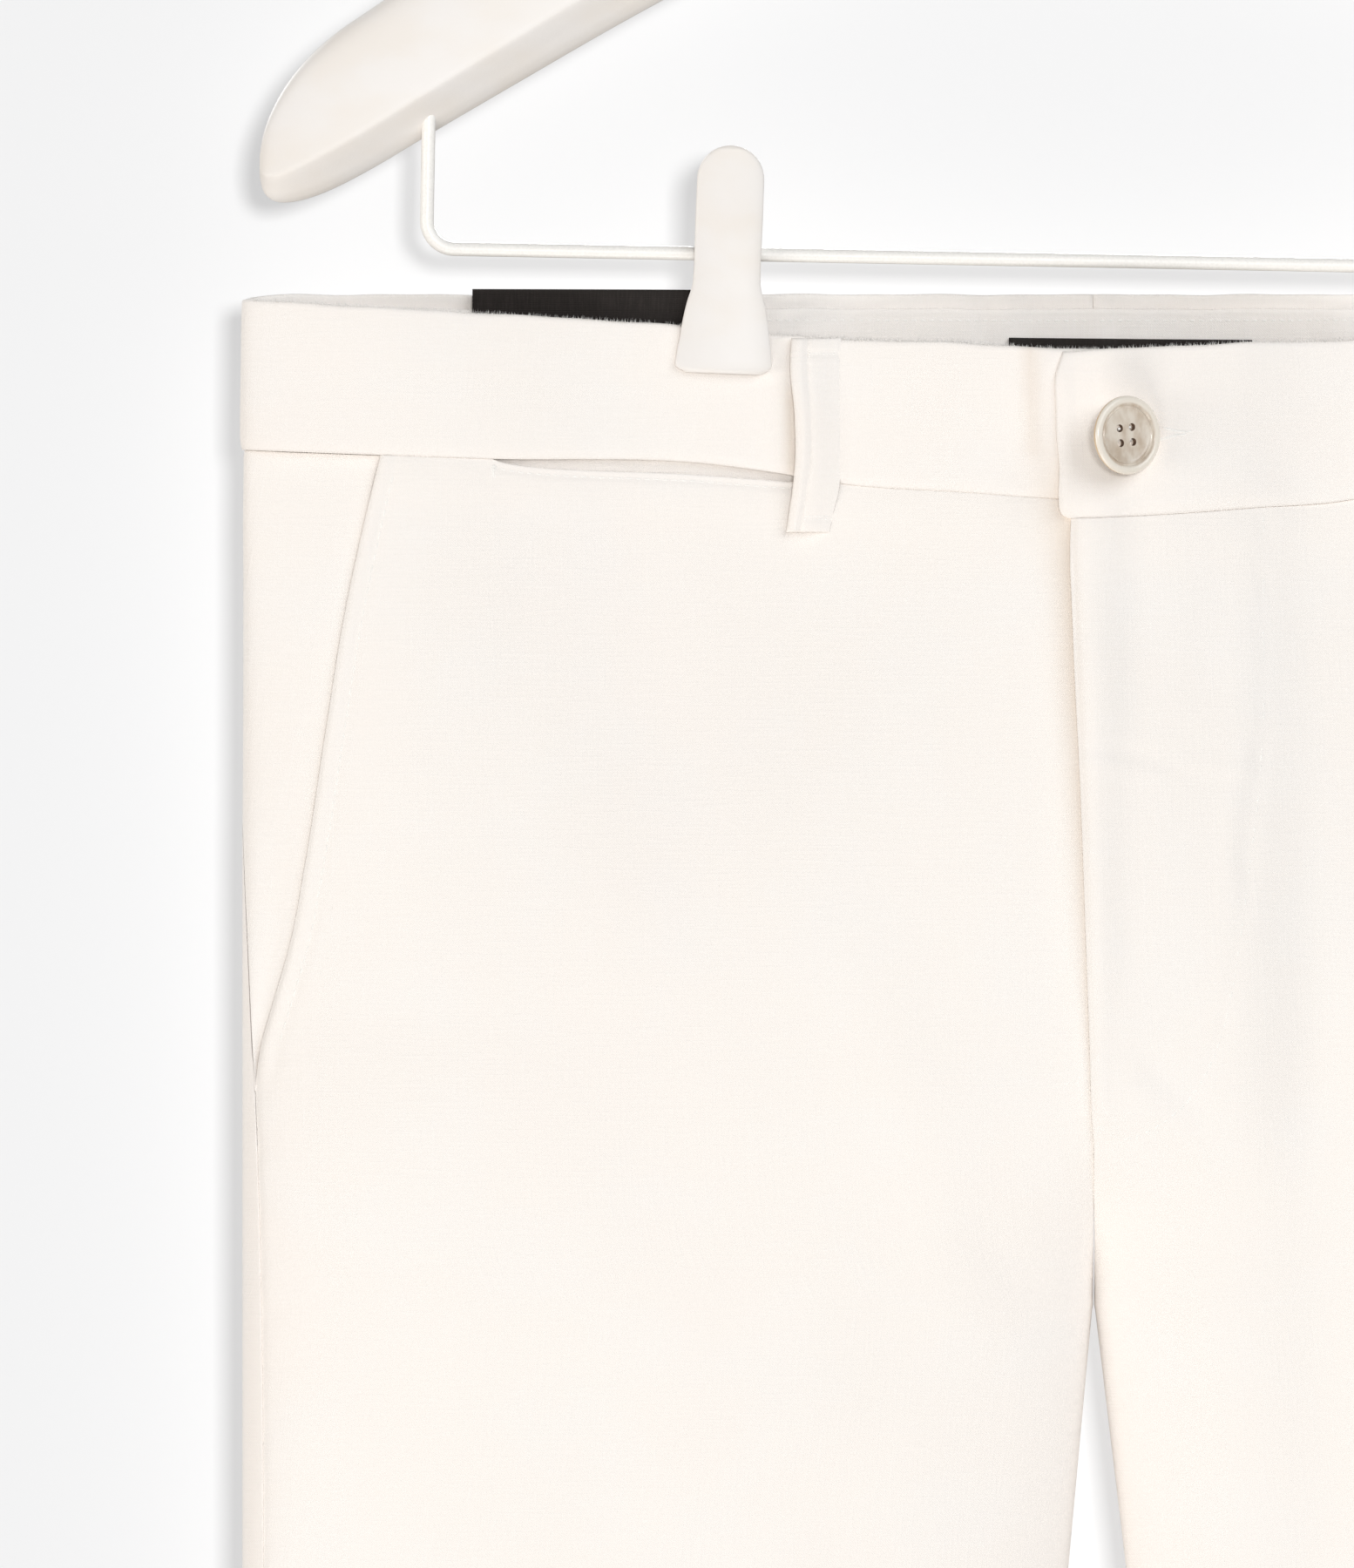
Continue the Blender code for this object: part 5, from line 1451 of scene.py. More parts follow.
def belt_loop(row):
    """A folded strip: a narrow raised fold along its outer edge, a furrow beside it and a
    flatter main part whose far edge lies close to the band."""
    share = both_ends(72, 0.5)[:, None]
    v = both_ends(35, 0.6)[None, :] * 2 - 1
    fold = 0.38 - 0.05 * np.sin(5 * share)
    ridge = 0.25 * MM * bell(v - 0.68, 0.2) - 0.5 * MM * bell(v - fold, 0.11)
    ridge = ridge - 1.0 * MM * ease(-v, 0.1, 1.0) - 0.4 * MM * np.abs(v) ** 8
    tack = -0.3 * MM * (bell(share - 0.075, 0.018) + bell(share - 0.93, 0.02)) * ease(0.5 - v, 0, 0.3)
    share, v = np.broadcast_arrays(share, v)
    outer = loop_point(row, share, v, LOOP_THICK + ridge + tack)
    inner = loop_point(row, share, v, 0.0)
    name = "linen_belt_loop_" + LOOPS["name"][row]
    uv = np.stack([v * 5.5 * MM, outer[..., 2]], axis=-1)
    return shell(name, outer, inner, uv, shared("woven_linen"), (0.4, 0.4, 0.55, 0.55))


# ---- stitches ---------------------------------------------------------------------------------------
def capsule(sides=6):
    """A stitch of length 2 and radius 1 along X: rings that narrow to a point at each end."""
    turn = np.linspace(0, 2 * np.pi, sides, endpoint=False)
    rings = [
        np.stack([np.full(sides, spot), radius * np.cos(turn), radius * np.sin(turn)], axis=-1)
        for spot, radius in zip((-0.93, -0.72, -0.3, 0.3, 0.72, 0.93), (0.55, 0.9, 1.0, 1.0, 0.9, 0.55))
    ]
    points = np.concatenate([*rings, [[-1.0, 0, 0], [1.0, 0, 0]]])
    first = len(rings) * sides
    index = np.arange(first).reshape(len(rings), sides)
    wrapped = np.concatenate([index, index[:, :1]], axis=1)
    quads = grid_quads(wrapped)[:, ::-1]
    caps = np.concatenate([
        np.stack([wrapped[0, 1:], wrapped[0, :-1], np.full(sides, first)], axis=-1)[:, ::-1],
        np.stack([wrapped[-1, :-1], wrapped[-1, 1:], np.full(sides, first + 1)], axis=-1)[:, ::-1],
    ])
    triangles = np.concatenate([quads[:, [0, 1, 2]], quads[:, [0, 2, 3]], caps])
    return points, triangles if enclosed(points, triangles) > 0 else triangles[:, ::-1]


def gather(rows):
    """Rows of stitches as one: starts, stops and outward directions."""
    return (np.concatenate(parts) for parts in zip(*rows))


def stitches(name, rows, radius=THREAD, sink=0.35):
    """Rows of stitches as one mesh: a capsule from each start to each stop, sunk into the
    cloth by a share of its radius."""
    starts, stops, outward = gather(rows)
    shape, triangles = capsule()
    along = unit(stops - starts)
    up = unit(outward - along * np.sum(outward * along, axis=-1, keepdims=True))
    aside = np.cross(up, along)
    centre = (starts + stops) / 2 - up * radius * sink
    half = np.linalg.norm(stops - starts, axis=-1, keepdims=True)[:, None] / 2
    points = (
        centre[:, None]
        + along[:, None] * shape[None, :, :1] * half
        + aside[:, None] * shape[None, :, 1:2] * radius
        + up[:, None] * shape[None, :, 2:] * radius * 0.85
    )
    count = len(shape)
    faces = (triangles[None] + count * np.arange(len(starts))[:, None, None]).reshape(-1, 3)
    piece = mesh_piece(name, points.reshape(-1, 3), faces, shared("topstitch_thread"))
    return finish_piece(piece, "sewing_thread")


def sewn_row(points, outward, step=STITCH, length=STITCH_LENGTH):
    """One row of stitches, evenly spaced along a line of points: starts, stops and the
    cloth's outward directions."""
    run = path_run(points)
    begin = np.arange((step - length) / 2, run[-1] - length, step)
    starts, stops = (
        np.stack([np.interp(at, run, place) for place in points.T], axis=-1)
        for at in (begin, begin + length)
    )
    nearest = np.interp(begin + length / 2, run, np.arange(len(points))).astype(int)
    return starts, stops, outward[nearest]


def cloth_line(side, angle, height, out, toward=1):
    """Points on a cloth face along a line, and the directions that leave it there:
    outwards, or inwards where toward is -1."""
    points = cloth(side, angle, height, out)
    return points, unit(cloth(side, angle, height, out + toward * MM) - points)


def front_line(side, across, height):
    """A line on a front's outer face."""
    return cloth_line(side, angle_at(side, across, height), height, front_relief(side, across, height))


def mouth_rows(side):
    """Topstitching beside the pocket mouth, and the tack at its foot."""
    height = np.linspace(-281, -428, 160) * MM
    rows = [sewn_row(*front_line(side, mouth_across(height) - MOUTH_STITCH, height))]
    for drop in np.linspace(-437.6, -439.8, 5) * MM:
        across = np.linspace(HALF_WIDTH - 3.6 * MM, HALF_WIDTH - 7.2 * MM, 8)
        rows.append(sewn_row(*front_line(side, across, np.full(8, drop)), 4.4 * MM, 4.0 * MM))
    return rows


def fly_rows():
    """The curved row of the fly and the tack at its foot."""
    x, z = table(FLY_STITCH, "x"), table(FLY_STITCH, "z")
    run = path_run(np.stack([x, z], axis=-1))
    fine = np.linspace(0, run[-1], 260)
    x, z = follow(fine, run, x), follow(fine, run, z)
    rows = [sewn_row(*front_line("left", x, z), STITCH * 0.92, STITCH_LENGTH * 0.92)]
    for side_step in np.linspace(0.9, 2.3, 4) * MM:
        height = np.linspace(-447, -451.5, 8) * MM
        rows.append(sewn_row(*front_line("left", np.full(8, side_step), height), 4.3 * MM, 4.0 * MM))
    return rows


def coin_rows():
    """The row below the coin pocket's slit, and a short upright tack at each end."""
    across = np.linspace(SLIT_START - 1 * MM, SLIT_END + 1 * MM, 120)
    seam = SIDE_WAIST_SEAM + seam_drop("right", across)
    height = seam - coin_slit(across) - 1.7 * MM
    rows = [sewn_row(*front_line("right", across, height), STITCH * 0.8, STITCH_LENGTH * 0.75)]
    for end in (SLIT_START - 0.6 * MM, SLIT_END + 0.2 * MM):
        for step in np.linspace(-0.35, 0.35, 3) * MM:
            top = SIDE_WAIST_SEAM + seam_drop("right", end)
            upright = np.linspace(top - 1.2 * MM, top - 5.4 * MM, 6)
            rows.append(sewn_row(*front_line("right", np.full(6, end + step), upright), 4 * MM, 3.6 * MM))
    return rows


def hem_rows():
    """The hem's row, round each leg."""
    rows = []
    for side in SIGN:
        for face in (1, -1):
            angle = face * np.linspace(0.02, np.pi - 0.02, 300)
            level = np.full_like(angle, HEM_LINE)
            rows.append(sewn_row(*cloth_line(side, angle, level, hem_relief(level))))
    return rows


def facing_rows():
    """The dotted row that holds the facing inside the back of the waistband."""
    inside = BAND_BACK + LAYER + FACING - BAND_PROUD
    across = np.linspace(FACING_REACH - 3 * MM, 0.4 * MM, 300)
    height = np.full_like(across, BACK_TOP - FACING_ROW)
    rows = []
    for side in SIGN:
        line = cloth_line(side, -angle_at(side, across, height), height, -inside, -1)
        rows.append(sewn_row(*line, STITCH * 0.8, STITCH_LENGTH * 0.7))
    return rows


def loop_rows():
    """Dense tacks across the ends of each belt loop."""
    rows = []
    for row in range(len(LOOPS["name"])):
        v = np.linspace(-0.86, 0.3, 10)
        for share in (0.06, 0.075, 0.09, 0.925, 0.94):
            face = LOOP_THICK - 0.3 * MM - 1.0 * MM * ease(-v, 0.1, 1.0)
            points = loop_point(row, share + 0 * v, v, face)
            lifted = loop_point(row, share + 0 * v, v, LOOP_THICK + MM)
            rows.append(sewn_row(points, unit(lifted - points), 0.9 * MM, 0.75 * MM))
    return rows


def buttonhole_rows():
    """Two lips of close stitches that meet in a point past the button, and a bar."""
    rows = []
    reach = np.linspace(10.5, 22.6, 44) * MM
    opening = 1.6 * MM * (1 - ease(reach, 12.5 * MM, 21.8 * MM)) + 0.12 * MM
    for turn in (1, -1):
        inner = -270.5 * MM + turn * opening
        outer = inner + turn * 1.45 * MM * np.sqrt((24.2 * MM - reach) / (13.7 * MM)).clip(0.3, 0.9)
        starts, outward = cloth_line("left", angle_at("left", reach, inner), inner, TAB_FACE)
        stops = cloth("left", angle_at("left", reach, outer), outer, TAB_FACE)
        rows.append((starts, stops, outward))
    tail = np.linspace(22.4, 25.9, 10) * MM
    level = -270.3 * MM + 0.5 * MM * (tail - 22.4 * MM) / (3.5 * MM)
    line = cloth_line("left", angle_at("left", tail, level), level, TAB_FACE)
    rows.append(sewn_row(*line, 2.2 * MM, 2.1 * MM))
    return rows


def fuzz():
    """Loose fibres that stand up along the front waistband's top edge: tapering slivers of
    three sides, leaning each its own way."""
    draw = np.random.default_rng(7)
    rows = []
    for side in SIGN:
        across = draw.uniform(-8, 216, FIBRES) * MM
        angle = angle_at(side, across, BACK_TOP)
        top, _ = band_edges(side, across, angle)
        lift = BAND_PROUD - draw.uniform(0.2, BAND / MM - 0.2, FIBRES) * MM
        if side == "left":
            lift = lift + TAB_LIFT * lap_lift(across)
        root = cloth(side, angle, top - 0.35 * MM, lift)
        lean = draw.normal(0.0, 0.5, (FIBRES, 3))
        lean[:, 2] = np.abs(lean[:, 2]) + 0.9
        length = draw.uniform(0.5, 1.7, FIBRES)[:, None] * MM
        rows.append((root, root + unit(lean) * length, unit(draw.normal(size=(FIBRES, 3)))))
    starts, stops, outward = gather(rows)
    along = unit(stops - starts)
    aside = unit(np.cross(along, outward))
    other = np.cross(along, aside)
    turn = np.radians([90, 210, 330])[None, :, None]
    base = starts[:, None] + FIBRE * (aside[:, None] * np.cos(turn) + other[:, None] * np.sin(turn))
    points = np.concatenate([base, stops[:, None]], axis=1)
    faces = np.array([[0, 1, 3], [1, 2, 3], [2, 0, 3], [2, 1, 0]])
    faces = (faces[None] + 4 * np.arange(len(points))[:, None, None]).reshape(-1, 3)
    piece = mesh_piece("linen_fuzz", points.reshape(-1, 3), faces, shared("topstitch_thread"))
    return finish_piece(piece, "linen")


# ---- button ------------------------------------------------------------------------------------------
def turned_rings(outline, steps):
    """Rings of a profile turned about Z, from the first row of the outline to the last."""
    radius, height = outline
    turn = np.linspace(0, 2 * np.pi, steps, endpoint=False)
    return np.stack(
        [radius[:, None] * np.cos(turn), radius[:, None] * np.sin(turn), height[:, None] + 0 * turn[None]],
        axis=-1,
    )


def box_middle(node):
    return (np.array(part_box(node)[0]) + np.array(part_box(node)[1])) / 2


def button_seat():
    """Middle of the button in the frame, and its face's own directions: across, up, out."""
    sin, cos = math.sin(BUTTON_TURN), math.cos(BUTTON_TURN)
    across, face = np.array([cos, sin, 0.0]), np.array([sin, -cos, 0.0])
    return box_middle("button"), across, np.array([0.0, 0.0, 1.0]), face


def seated(points):
    """Points of the button's own frame (across, up, out of its face) in the world."""
    middle, across, up, face = button_seat()
    return middle + points[..., :1] * across + points[..., 1:2] * up + points[..., 2:] * face


def button_holes():
    """Middles of the four holes, across and up."""
    turns = BUTTON_SPIN + np.radians(45 + 90 * np.arange(4))
    return BUTTON_HOLE_SQUARE * math.sqrt(2) * np.stack([np.cos(turns), np.sin(turns)], axis=-1)


def cut_holes(button):
    """Cut the four holes through the button, and leave a plain mesh."""
    cutters = []
    for number, hole in enumerate(button_holes()):
        profile = (np.full(2, BUTTON_HOLE), np.array([-4.0, 4.0]) * MM)
        rings = turned_rings(profile, 32) + np.array([*hole, 0.0])
        cutters.append(skin(f"hole_{number}", seated(rings), shared("button_pearl")))
        step = button.modifiers.new(cutters[-1].name, "BOOLEAN")
        step.operation = "DIFFERENCE"
        step.object = cutters[-1]
    evaluated = button.evaluated_get(bpy.context.evaluated_depsgraph_get())
    mesh = bpy.data.meshes.new_from_object(evaluated)
    button.modifiers.clear()
    button.data = mesh
    for cutter in cutters:
        bpy.data.objects.remove(cutter, do_unlink=True)
    mesh.shade_smooth()
    mesh.set_sharp_from_angle(angle=math.radians(40))


def finish_button(mesh):
    """Give the holes' walls their own material, and mark the lip, which the material colours lighter, and the
    edge, which it colours brown: 1 on the lip, 2 on the edge."""
    middle, across, up, face = button_seat()
    mesh.materials.append(shared("button_bore"))
    centres = np.zeros(len(mesh.polygons) * 3)
    mesh.polygons.foreach_get("center", centres)
    offset = centres.reshape(-1, 1, 3) - seated(np.array([[*hole, 0.0] for hole in button_holes()]))
    inside = np.hypot(offset @ across, offset @ up).min(axis=1) < 1.001 * BUTTON_HOLE
    mesh.polygons.foreach_set("material_index", inside.astype(np.int32))
    local = mesh_points(mesh) - middle
    reach, rise = np.hypot(local @ across, local @ up), local @ face
    rim = ease(reach, 9.2 * MM, 10 * MM) * (1 - ease(rise, 0.3 * MM, 0.9 * MM))
    mark_points(mesh, "edge", ease(reach, 7.3 * MM, 9.2 * MM) + rim)


def pearl_button():
    """The outline turned about the button's axis, from the middle of its face round to
    its back, with four holes cut through it."""
    radius = table(BUTTON_OUTLINE, "radius")
    rise = table(BUTTON_OUTLINE, "height") - BUTTON_THICK / 2
    run = path_run(np.stack([radius, rise], axis=-1))
    fine = np.unique(np.concatenate([run, np.linspace(0, run[-1], 90)]))
    radius, rise = follow(fine, run, radius).clip(0.0), follow(fine, run, rise)
    keep = radius > 0.05 * MM
    rings = turned_rings((radius[keep], rise[keep]), 96)
    button = skin("pearl_button", seated(rings), shared("button_pearl"))
    cut_holes(button)
    finish_button(button.data)
    return button


def button_threads():
    """Thread through the holes: strands down each hole and a wrapped shank to the tab."""
    across = button_seat()[1]
    rows = []
    for hole, (left, rise, top_at) in zip(button_holes(), STRANDS):
        for shift in (-0.2, 0.2):
            top = np.array([hole[0] + (left + shift) * MM, hole[1] + rise * MM, top_at * MM])
            foot = np.array([*(hole * 0.55), -BUTTON_THICK])
            rows.append((seated(foot)[None], seated(top)[None], across[None]))
    near, far = (corner[1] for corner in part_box("button_thread"))
    x, _, z = box_middle("button_thread")
    for y in np.linspace(near + 0.2 * MM, far - 0.1 * MM, 9):
        ring = arc((x, z), SHANK_RADIUS, 0, 2 * np.pi, 13) + np.array([0.0, y, 0.0])
        rows.append((ring[:-1], ring[1:], unit(ring[:-1] - np.array([x, y, z]))))
    core = np.array([[x, near - 0.6 * MM, z], [x, far, z]])
    for shift in np.radians([0, 90, 180, 270]):
        step = np.array([math.cos(shift), 0.0, math.sin(shift)])
        ends = core + SHANK_CORE * step
        rows.append((ends[:1], ends[1:], step[None]))
    piece = stitches("button_sewing", rows, radius=0.42 * MM, sink=0.0)
    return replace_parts(piece, "button_thread")


# ---- hanger --------------------------------------------------------------------------------------------
def arc(centre, radius, start, stop, steps):
    """Points of an arc in the hanger's plane."""
    turn = np.linspace(start, stop, steps)
    return np.stack([centre[0] + radius * np.cos(turn), 0 * turn, centre[1] + radius * np.sin(turn)], axis=-1)


def hook_path():
    """Over the rail, round, and back to the centre line by a reverse bend."""
    over = arc((0.0, HOOK_WIRE - HOOK_BEND), HOOK_BEND, HOOK_END_TURN, -HOOK_BACK_TURN, 90)
    x, z = over[-1, 0], over[-1, 2]
    bend = x / (1 - math.cos(HOOK_BACK_TURN))
    back = arc((bend, z - bend * math.sin(HOOK_BACK_TURN)), bend, math.pi - HOOK_BACK_TURN, math.pi, 30)
    foot = np.linspace(back[-1], np.array([0.0, 0.0, HOOK_FOOT]), 8)
    return np.concatenate([over, back[1:], foot[1:]])


def rod_path():
    """Down from one arm, along under both clips and up into the other arm."""
    inner, low = ROD_HALF - ROD_BEND, ROD_HEIGHT + ROD_BEND
    right = arc((-inner, low), ROD_BEND, math.pi, 1.5 * math.pi, 22)
    left = arc((inner, low), ROD_BEND, 1.5 * math.pi, 2 * math.pi, 22)
    down = np.linspace(np.array([-ROD_HALF, 0.0, ROD_TOP]), right[0], 8)
    flat = np.linspace(right[-1], left[0], 60)
    rise = np.linspace(left[-1], np.array([ROD_HALF, 0.0, ROD_TOP]), 8)
    return np.concatenate([down, right[1:], flat[1:], left[1:], rise[1:]])


def hanger_body():
    """The moulded body: one section carried from tip to tip, smooth round and along."""
    near_tip = np.sqrt(table(ARM, "from_tip"))
    stations = np.linspace(near_tip[0], near_tip[-1], 90)
    top, bottom, front, back = (
        follow(stations, near_tip, table(ARM, name))[:, None] for name in ("top", "bottom", "front", "back")
    )
    count = len(ARM_SECTION["depth"])
    places = np.arange(-2, count + 3)
    fine = np.linspace(0, count, 96, endpoint=False)
    depth, drop = (
        follow(fine, places.astype(float), np.take(ARM_SECTION[name], places, mode="wrap"))
        for name in ("depth", "drop")
    )
    x = (stations ** 2 - ARM["from_tip"][-1] * MM)[:, None] + 0 * depth
    y = depth * np.where(depth < 0, front, back)
    z = top + drop * (bottom - top)
    half = np.stack([x, y, z], axis=-1)
    other = half[-2::-1] * np.array([-1.0, 1.0, 1.0])
    return skin("hanger_body_moulded", hanger_place(np.concatenate([half, other])), shared("hanger_white"))


def clip_place(row, points, level=False):
    """From a clip's own frame, its rod at the origin, to the world. The plates lean and
    what is level lies along the rod."""
    turned = points if level else tilted(points, math.radians(CLIPS["lean"][row]))
    return hanger_place(turned + np.array([CLIPS["along"][row] * MM, 0.0, ROD_HEIGHT]))


def clip_plate(row, face):
    """A plate as rings from its domed top to its jaw: each ring is a bowed slab with
    rounded edges, and the rings narrow to a line at both ends."""
    dome = np.radians(np.linspace(88, 4, 22))
    below = spans((CLIP_DOME, 56.6 * MM, 0.9 * MM), (56.6 * MM, CLIP_FOOT, 0.2 * MM))
    drop = np.concatenate([CLIP_DOME * (1 - np.sin(dome)), below])
    half = read(CLIP_PLATE, "half", drop, "drop")
    half[: len(dome)] = CLIP_DOME * np.cos(dome)
    half = half - 0.9 * MM * ease(drop, CLIP_FOOT - 2 * MM, CLIP_FOOT) ** 3
    first = table(CLIP_PLATE, "stand")[0]
    rise = CLIP_TOP_STAND + (first - CLIP_TOP_STAND) * drop / CLIP_DOME
    stand = np.where(drop < CLIP_DOME, rise, read(CLIP_PLATE, "stand", drop, "drop"))
    from_end = np.minimum(drop, CLIP_FOOT + 0.1 * MM - drop) / MM
    ends = np.sqrt(np.clip(from_end, 0.02, 1.0))
    thick = CLIP_THICK * (0.35 + 0.65 * ends)
    turn = np.linspace(0, 2 * np.pi, 72, endpoint=False)
    cos, sin = np.cos(turn), np.sin(turn)
    wide = np.sign(cos) * np.abs(cos) ** 0.35
    deep = np.sign(sin) * np.abs(sin) ** 0.55
    x = half[:, None] * wide
    crown = CLIP_CROWN * (1 - wide ** 2) * (half / CLIP_DOME)[:, None]
    y = stand[:, None] + crown + thick[:, None] * (0.5 + 0.5 * deep) + (CLIP_THICK - thick[:, None]) / 2
    if face == "back":
        y = y + BACK_PLATE_EXTRA
    z = CLIP_ABOVE_ROD - drop[:, None] + 0 * x
    rings = np.stack([x, y * (-1 if face == "front" else 1), z], axis=-1)
    name = f"{CLIPS['name'][row]}_{face}_plate"
    return skin(name, clip_place(row, rings), shared("clip_white"))


def clip_sleeve(row):
    """The sleeve on the rod that holds the plates' spring: a turned tube with rolled lips
    and three grooves."""
    along = np.linspace(-SLEEVE_HALF, SLEEVE_HALF, 80)
    lip = SLEEVE_HALF - np.abs(along)
    radius = SLEEVE_RADIUS - 0.35 * MM + 0.35 * MM * bell(lip - 0.7 * MM, 0.6 * MM)
    radius = radius - 0.25 * MM * sum(bell(along - spot * MM, 0.35 * MM) for spot in (-2.6, 0.0, 2.6))
    radius = radius - 0.5 * MM * bell(lip, 0.25 * MM)
    bore = np.full(4, ROD_WIRE + 0.3 * MM)
    outline = (
        np.concatenate([radius, bore, radius[:1]]),
        np.concatenate([along, np.linspace(SLEEVE_HALF, -SLEEVE_HALF, 4), along[:1]]),
    )
    rings = np.roll(turned_rings(outline, 40), 1, axis=-1)
    name = CLIPS["name"][row] + "_spring_sleeve"
    return skin(name, clip_place(row, rings, level=True), shared("hook_polish"), ends=(False, False))


# ---- operators ---------------------------------------------------------------------------------------------
class SHORTS_OT_panels(bpy.types.Operator):
    """Make the two fronts and the two backs of the shorts"""

    bl_idname = "shorts.panels"
    bl_label = "Fronts and Backs"

    def execute(self, context):
        for side in SIGN:
            front = hang_cloth(front_panel(side), f"front_{side}")
            if side == "right":
                shade_folds(front)
            hang_cloth(back_panel(side), f"back_{side}")
        return {"FINISHED"}


class SHORTS_OT_pockets(bpy.types.Operator):
    """Make the side facings behind the pocket mouths and the coin pocket"""

    bl_idname = "shorts.pockets"
    bl_label = "Pockets"

    def execute(self, context):
        for side in SIGN:
            hang_cloth(pocket_facing(side), f"pocket_facing_{side}")
        hang_cloth(coin_pocket(), "coin_pocket")
        return {"FINISHED"}


class SHORTS_OT_fly(bpy.types.Operator):
    """Make the underlap that runs on behind the fly"""

    bl_idname = "shorts.fly"
    bl_label = "Fly"

    def execute(self, context):
        hang_cloth(fly_underlap(), "fly_underlap")
        return {"FINISHED"}


class SHORTS_OT_waistband(bpy.types.Operator):
    """Make the waistband's halves, its facing and the blank labels inside it"""

    bl_idname = "shorts.waistband"
    bl_label = "Waistband"

    def execute(self, context):
        for side in SIGN:
            band = hang_cloth(waistband(side), f"waistband_{side}")
            if side == "right":
                shade_folds(band)
        hang_cloth(waistband_facing(), "waistband_facing")
        for row, name in enumerate(LABELS["name"]):
            hang_cloth(label(row), name, "satin_label")
        return {"FINISHED"}


class SHORTS_OT_belt_loops(bpy.types.Operator):
    """Make the five belt loops"""

    bl_idname = "shorts.belt_loops"
    bl_label = "Belt Loops"

    def execute(self, context):
        for row, name in enumerate(LOOPS["name"]):
            hang_cloth(belt_loop(row), f"belt_loop_{name}")
        return {"FINISHED"}


class SHORTS_OT_stitching(bpy.types.Operator):
    """Sew the topstitching, tacks and buttonhole, and raise the fibres of the top edge"""

    bl_idname = "shorts.stitching"
    bl_label = "Stitching"

    def execute(self, context):
        stitches("stitching_pockets", [row for side in SIGN for row in mouth_rows(side)])
        stitches("stitching_fly", fly_rows())
        stitches("stitching_coin_pocket", coin_rows(), radius=0.2 * MM)
        stitches("stitching_hems", hem_rows())
        stitches("stitching_facing", facing_rows(), radius=0.22 * MM)
        stitches("stitching_loops", loop_rows(), radius=0.2 * MM)
        stitches("buttonhole_lips", buttonhole_rows(), radius=0.3 * MM, sink=0.1)
        fuzz()
        return {"FINISHED"}


class SHORTS_OT_button(bpy.types.Operator):
    """Make the button and the thread that holds it"""

    bl_idname = "shorts.button"
    bl_label = "Button"

    def execute(self, context):
        finish_piece(pearl_button(), "pearly_button", "button")
        button_threads()
        return {"FINISHED"}


class SHORTS_OT_hanger(bpy.types.Operator):
    """Make the hanger's moulded body, its hook and its rod"""

    bl_idname = "shorts.hanger"
    bl_label = "Hanger"

    def execute(self, context):
        finish_piece(hanger_body(), "hanger_plastic", "hanger_body")
        hook = tube("hanger_hook_wire", hook_path(), HOOK_WIRE, shared("hook_polish"))
        finish_piece(hook, "hook_steel", "hanger_hook")
        rod = tube("hanger_rod_wire", rod_path(), ROD_WIRE, shared("rod_coating"))
        finish_piece(rod, "coated_wire", "hanger_rod")
        return {"FINISHED"}


class SHORTS_OT_clips(bpy.types.Operator):
    """Make both clips: two plates and the sleeve on the rod"""

    bl_idname = "shorts.clips"
    bl_label = "Clips"

    def execute(self, context):
        for row, name in enumerate(CLIPS["name"]):
            for face in ("front", "back"):
                finish_piece(clip_plate(row, face), "hanger_plastic", f"{name}_{face}")
            finish_piece(clip_sleeve(row), "hook_steel", f"{name}_sleeve")
        return {"FINISHED"}


def area_light(name, offset, size, strength, colour, receivers):
    """A square soft light at an offset from the photo's middle; strength is the light it
    throws on a surface there that faces it. receivers says what it lights or spares."""
    light = bpy.data.lights.new(name, "AREA")
    light.size = size
    light.color = colour
    offset = Vector(offset)
    light.energy = strength * math.pi ** 2 * offset.length_squared
    lamp = bpy.data.objects.new(name, light)
    bpy.context.scene.collection.objects.link(lamp)
    lamp.location = Vector(PHOTO_MIDDLE) + offset
    lamp.rotation_mode = "QUATERNION"
    lamp.rotation_quaternion = offset.to_track_quat("Z", "Y")
    lamp.visible_camera = False
    lamp.light_linking.receiver_collection = receivers


def stage_collection(name, pieces, state):
    """The stage's pieces as a light's own list, which it lights alone or spares."""
    made = bpy.data.collections.new(name)
    for piece in pieces:
        made.objects.link(piece)
    for item in made.collection_objects:
        item.light_linking.link_state = state
    return made


def plane(name, centre, along, up, half, material):
    """A flat square of the stage, facing along crossed with up, that only the camera sees."""
    centre, along, up = (np.array(part, dtype=float) for part in (centre, along, up))
    corners = [centre + half * (a * along + b * up) for a, b in ((-1, -1), (1, -1), (1, 1), (-1, 1))]
    piece = mesh_piece(name, np.array(corners), np.array([[0, 1, 2, 3]]), material, smooth=False)
    for ray in ("visible_diffuse", "visible_glossy", "visible_transmission", "visible_shadow"):
        setattr(piece, ray, False)
    return piece


def make_stage(look):
    """The backdrop close behind the object and the floor below it."""
    paper = shared("studio_paper")
    wall = CAD_BOX[1][1] + look.wall_gap
    level = CAD_BOX[0][2] - look.floor_gap
    backdrop = plane("backdrop", (0, wall, STAGE_HEIGHT), (1, 0, 0), (0, 0, 1), STAGE_HALF, paper)
    floor = plane("floor", (0, wall - STAGE_HALF, level), (1, 0, 0), (0, 1, 0), STAGE_HALF, paper)
    return backdrop, floor


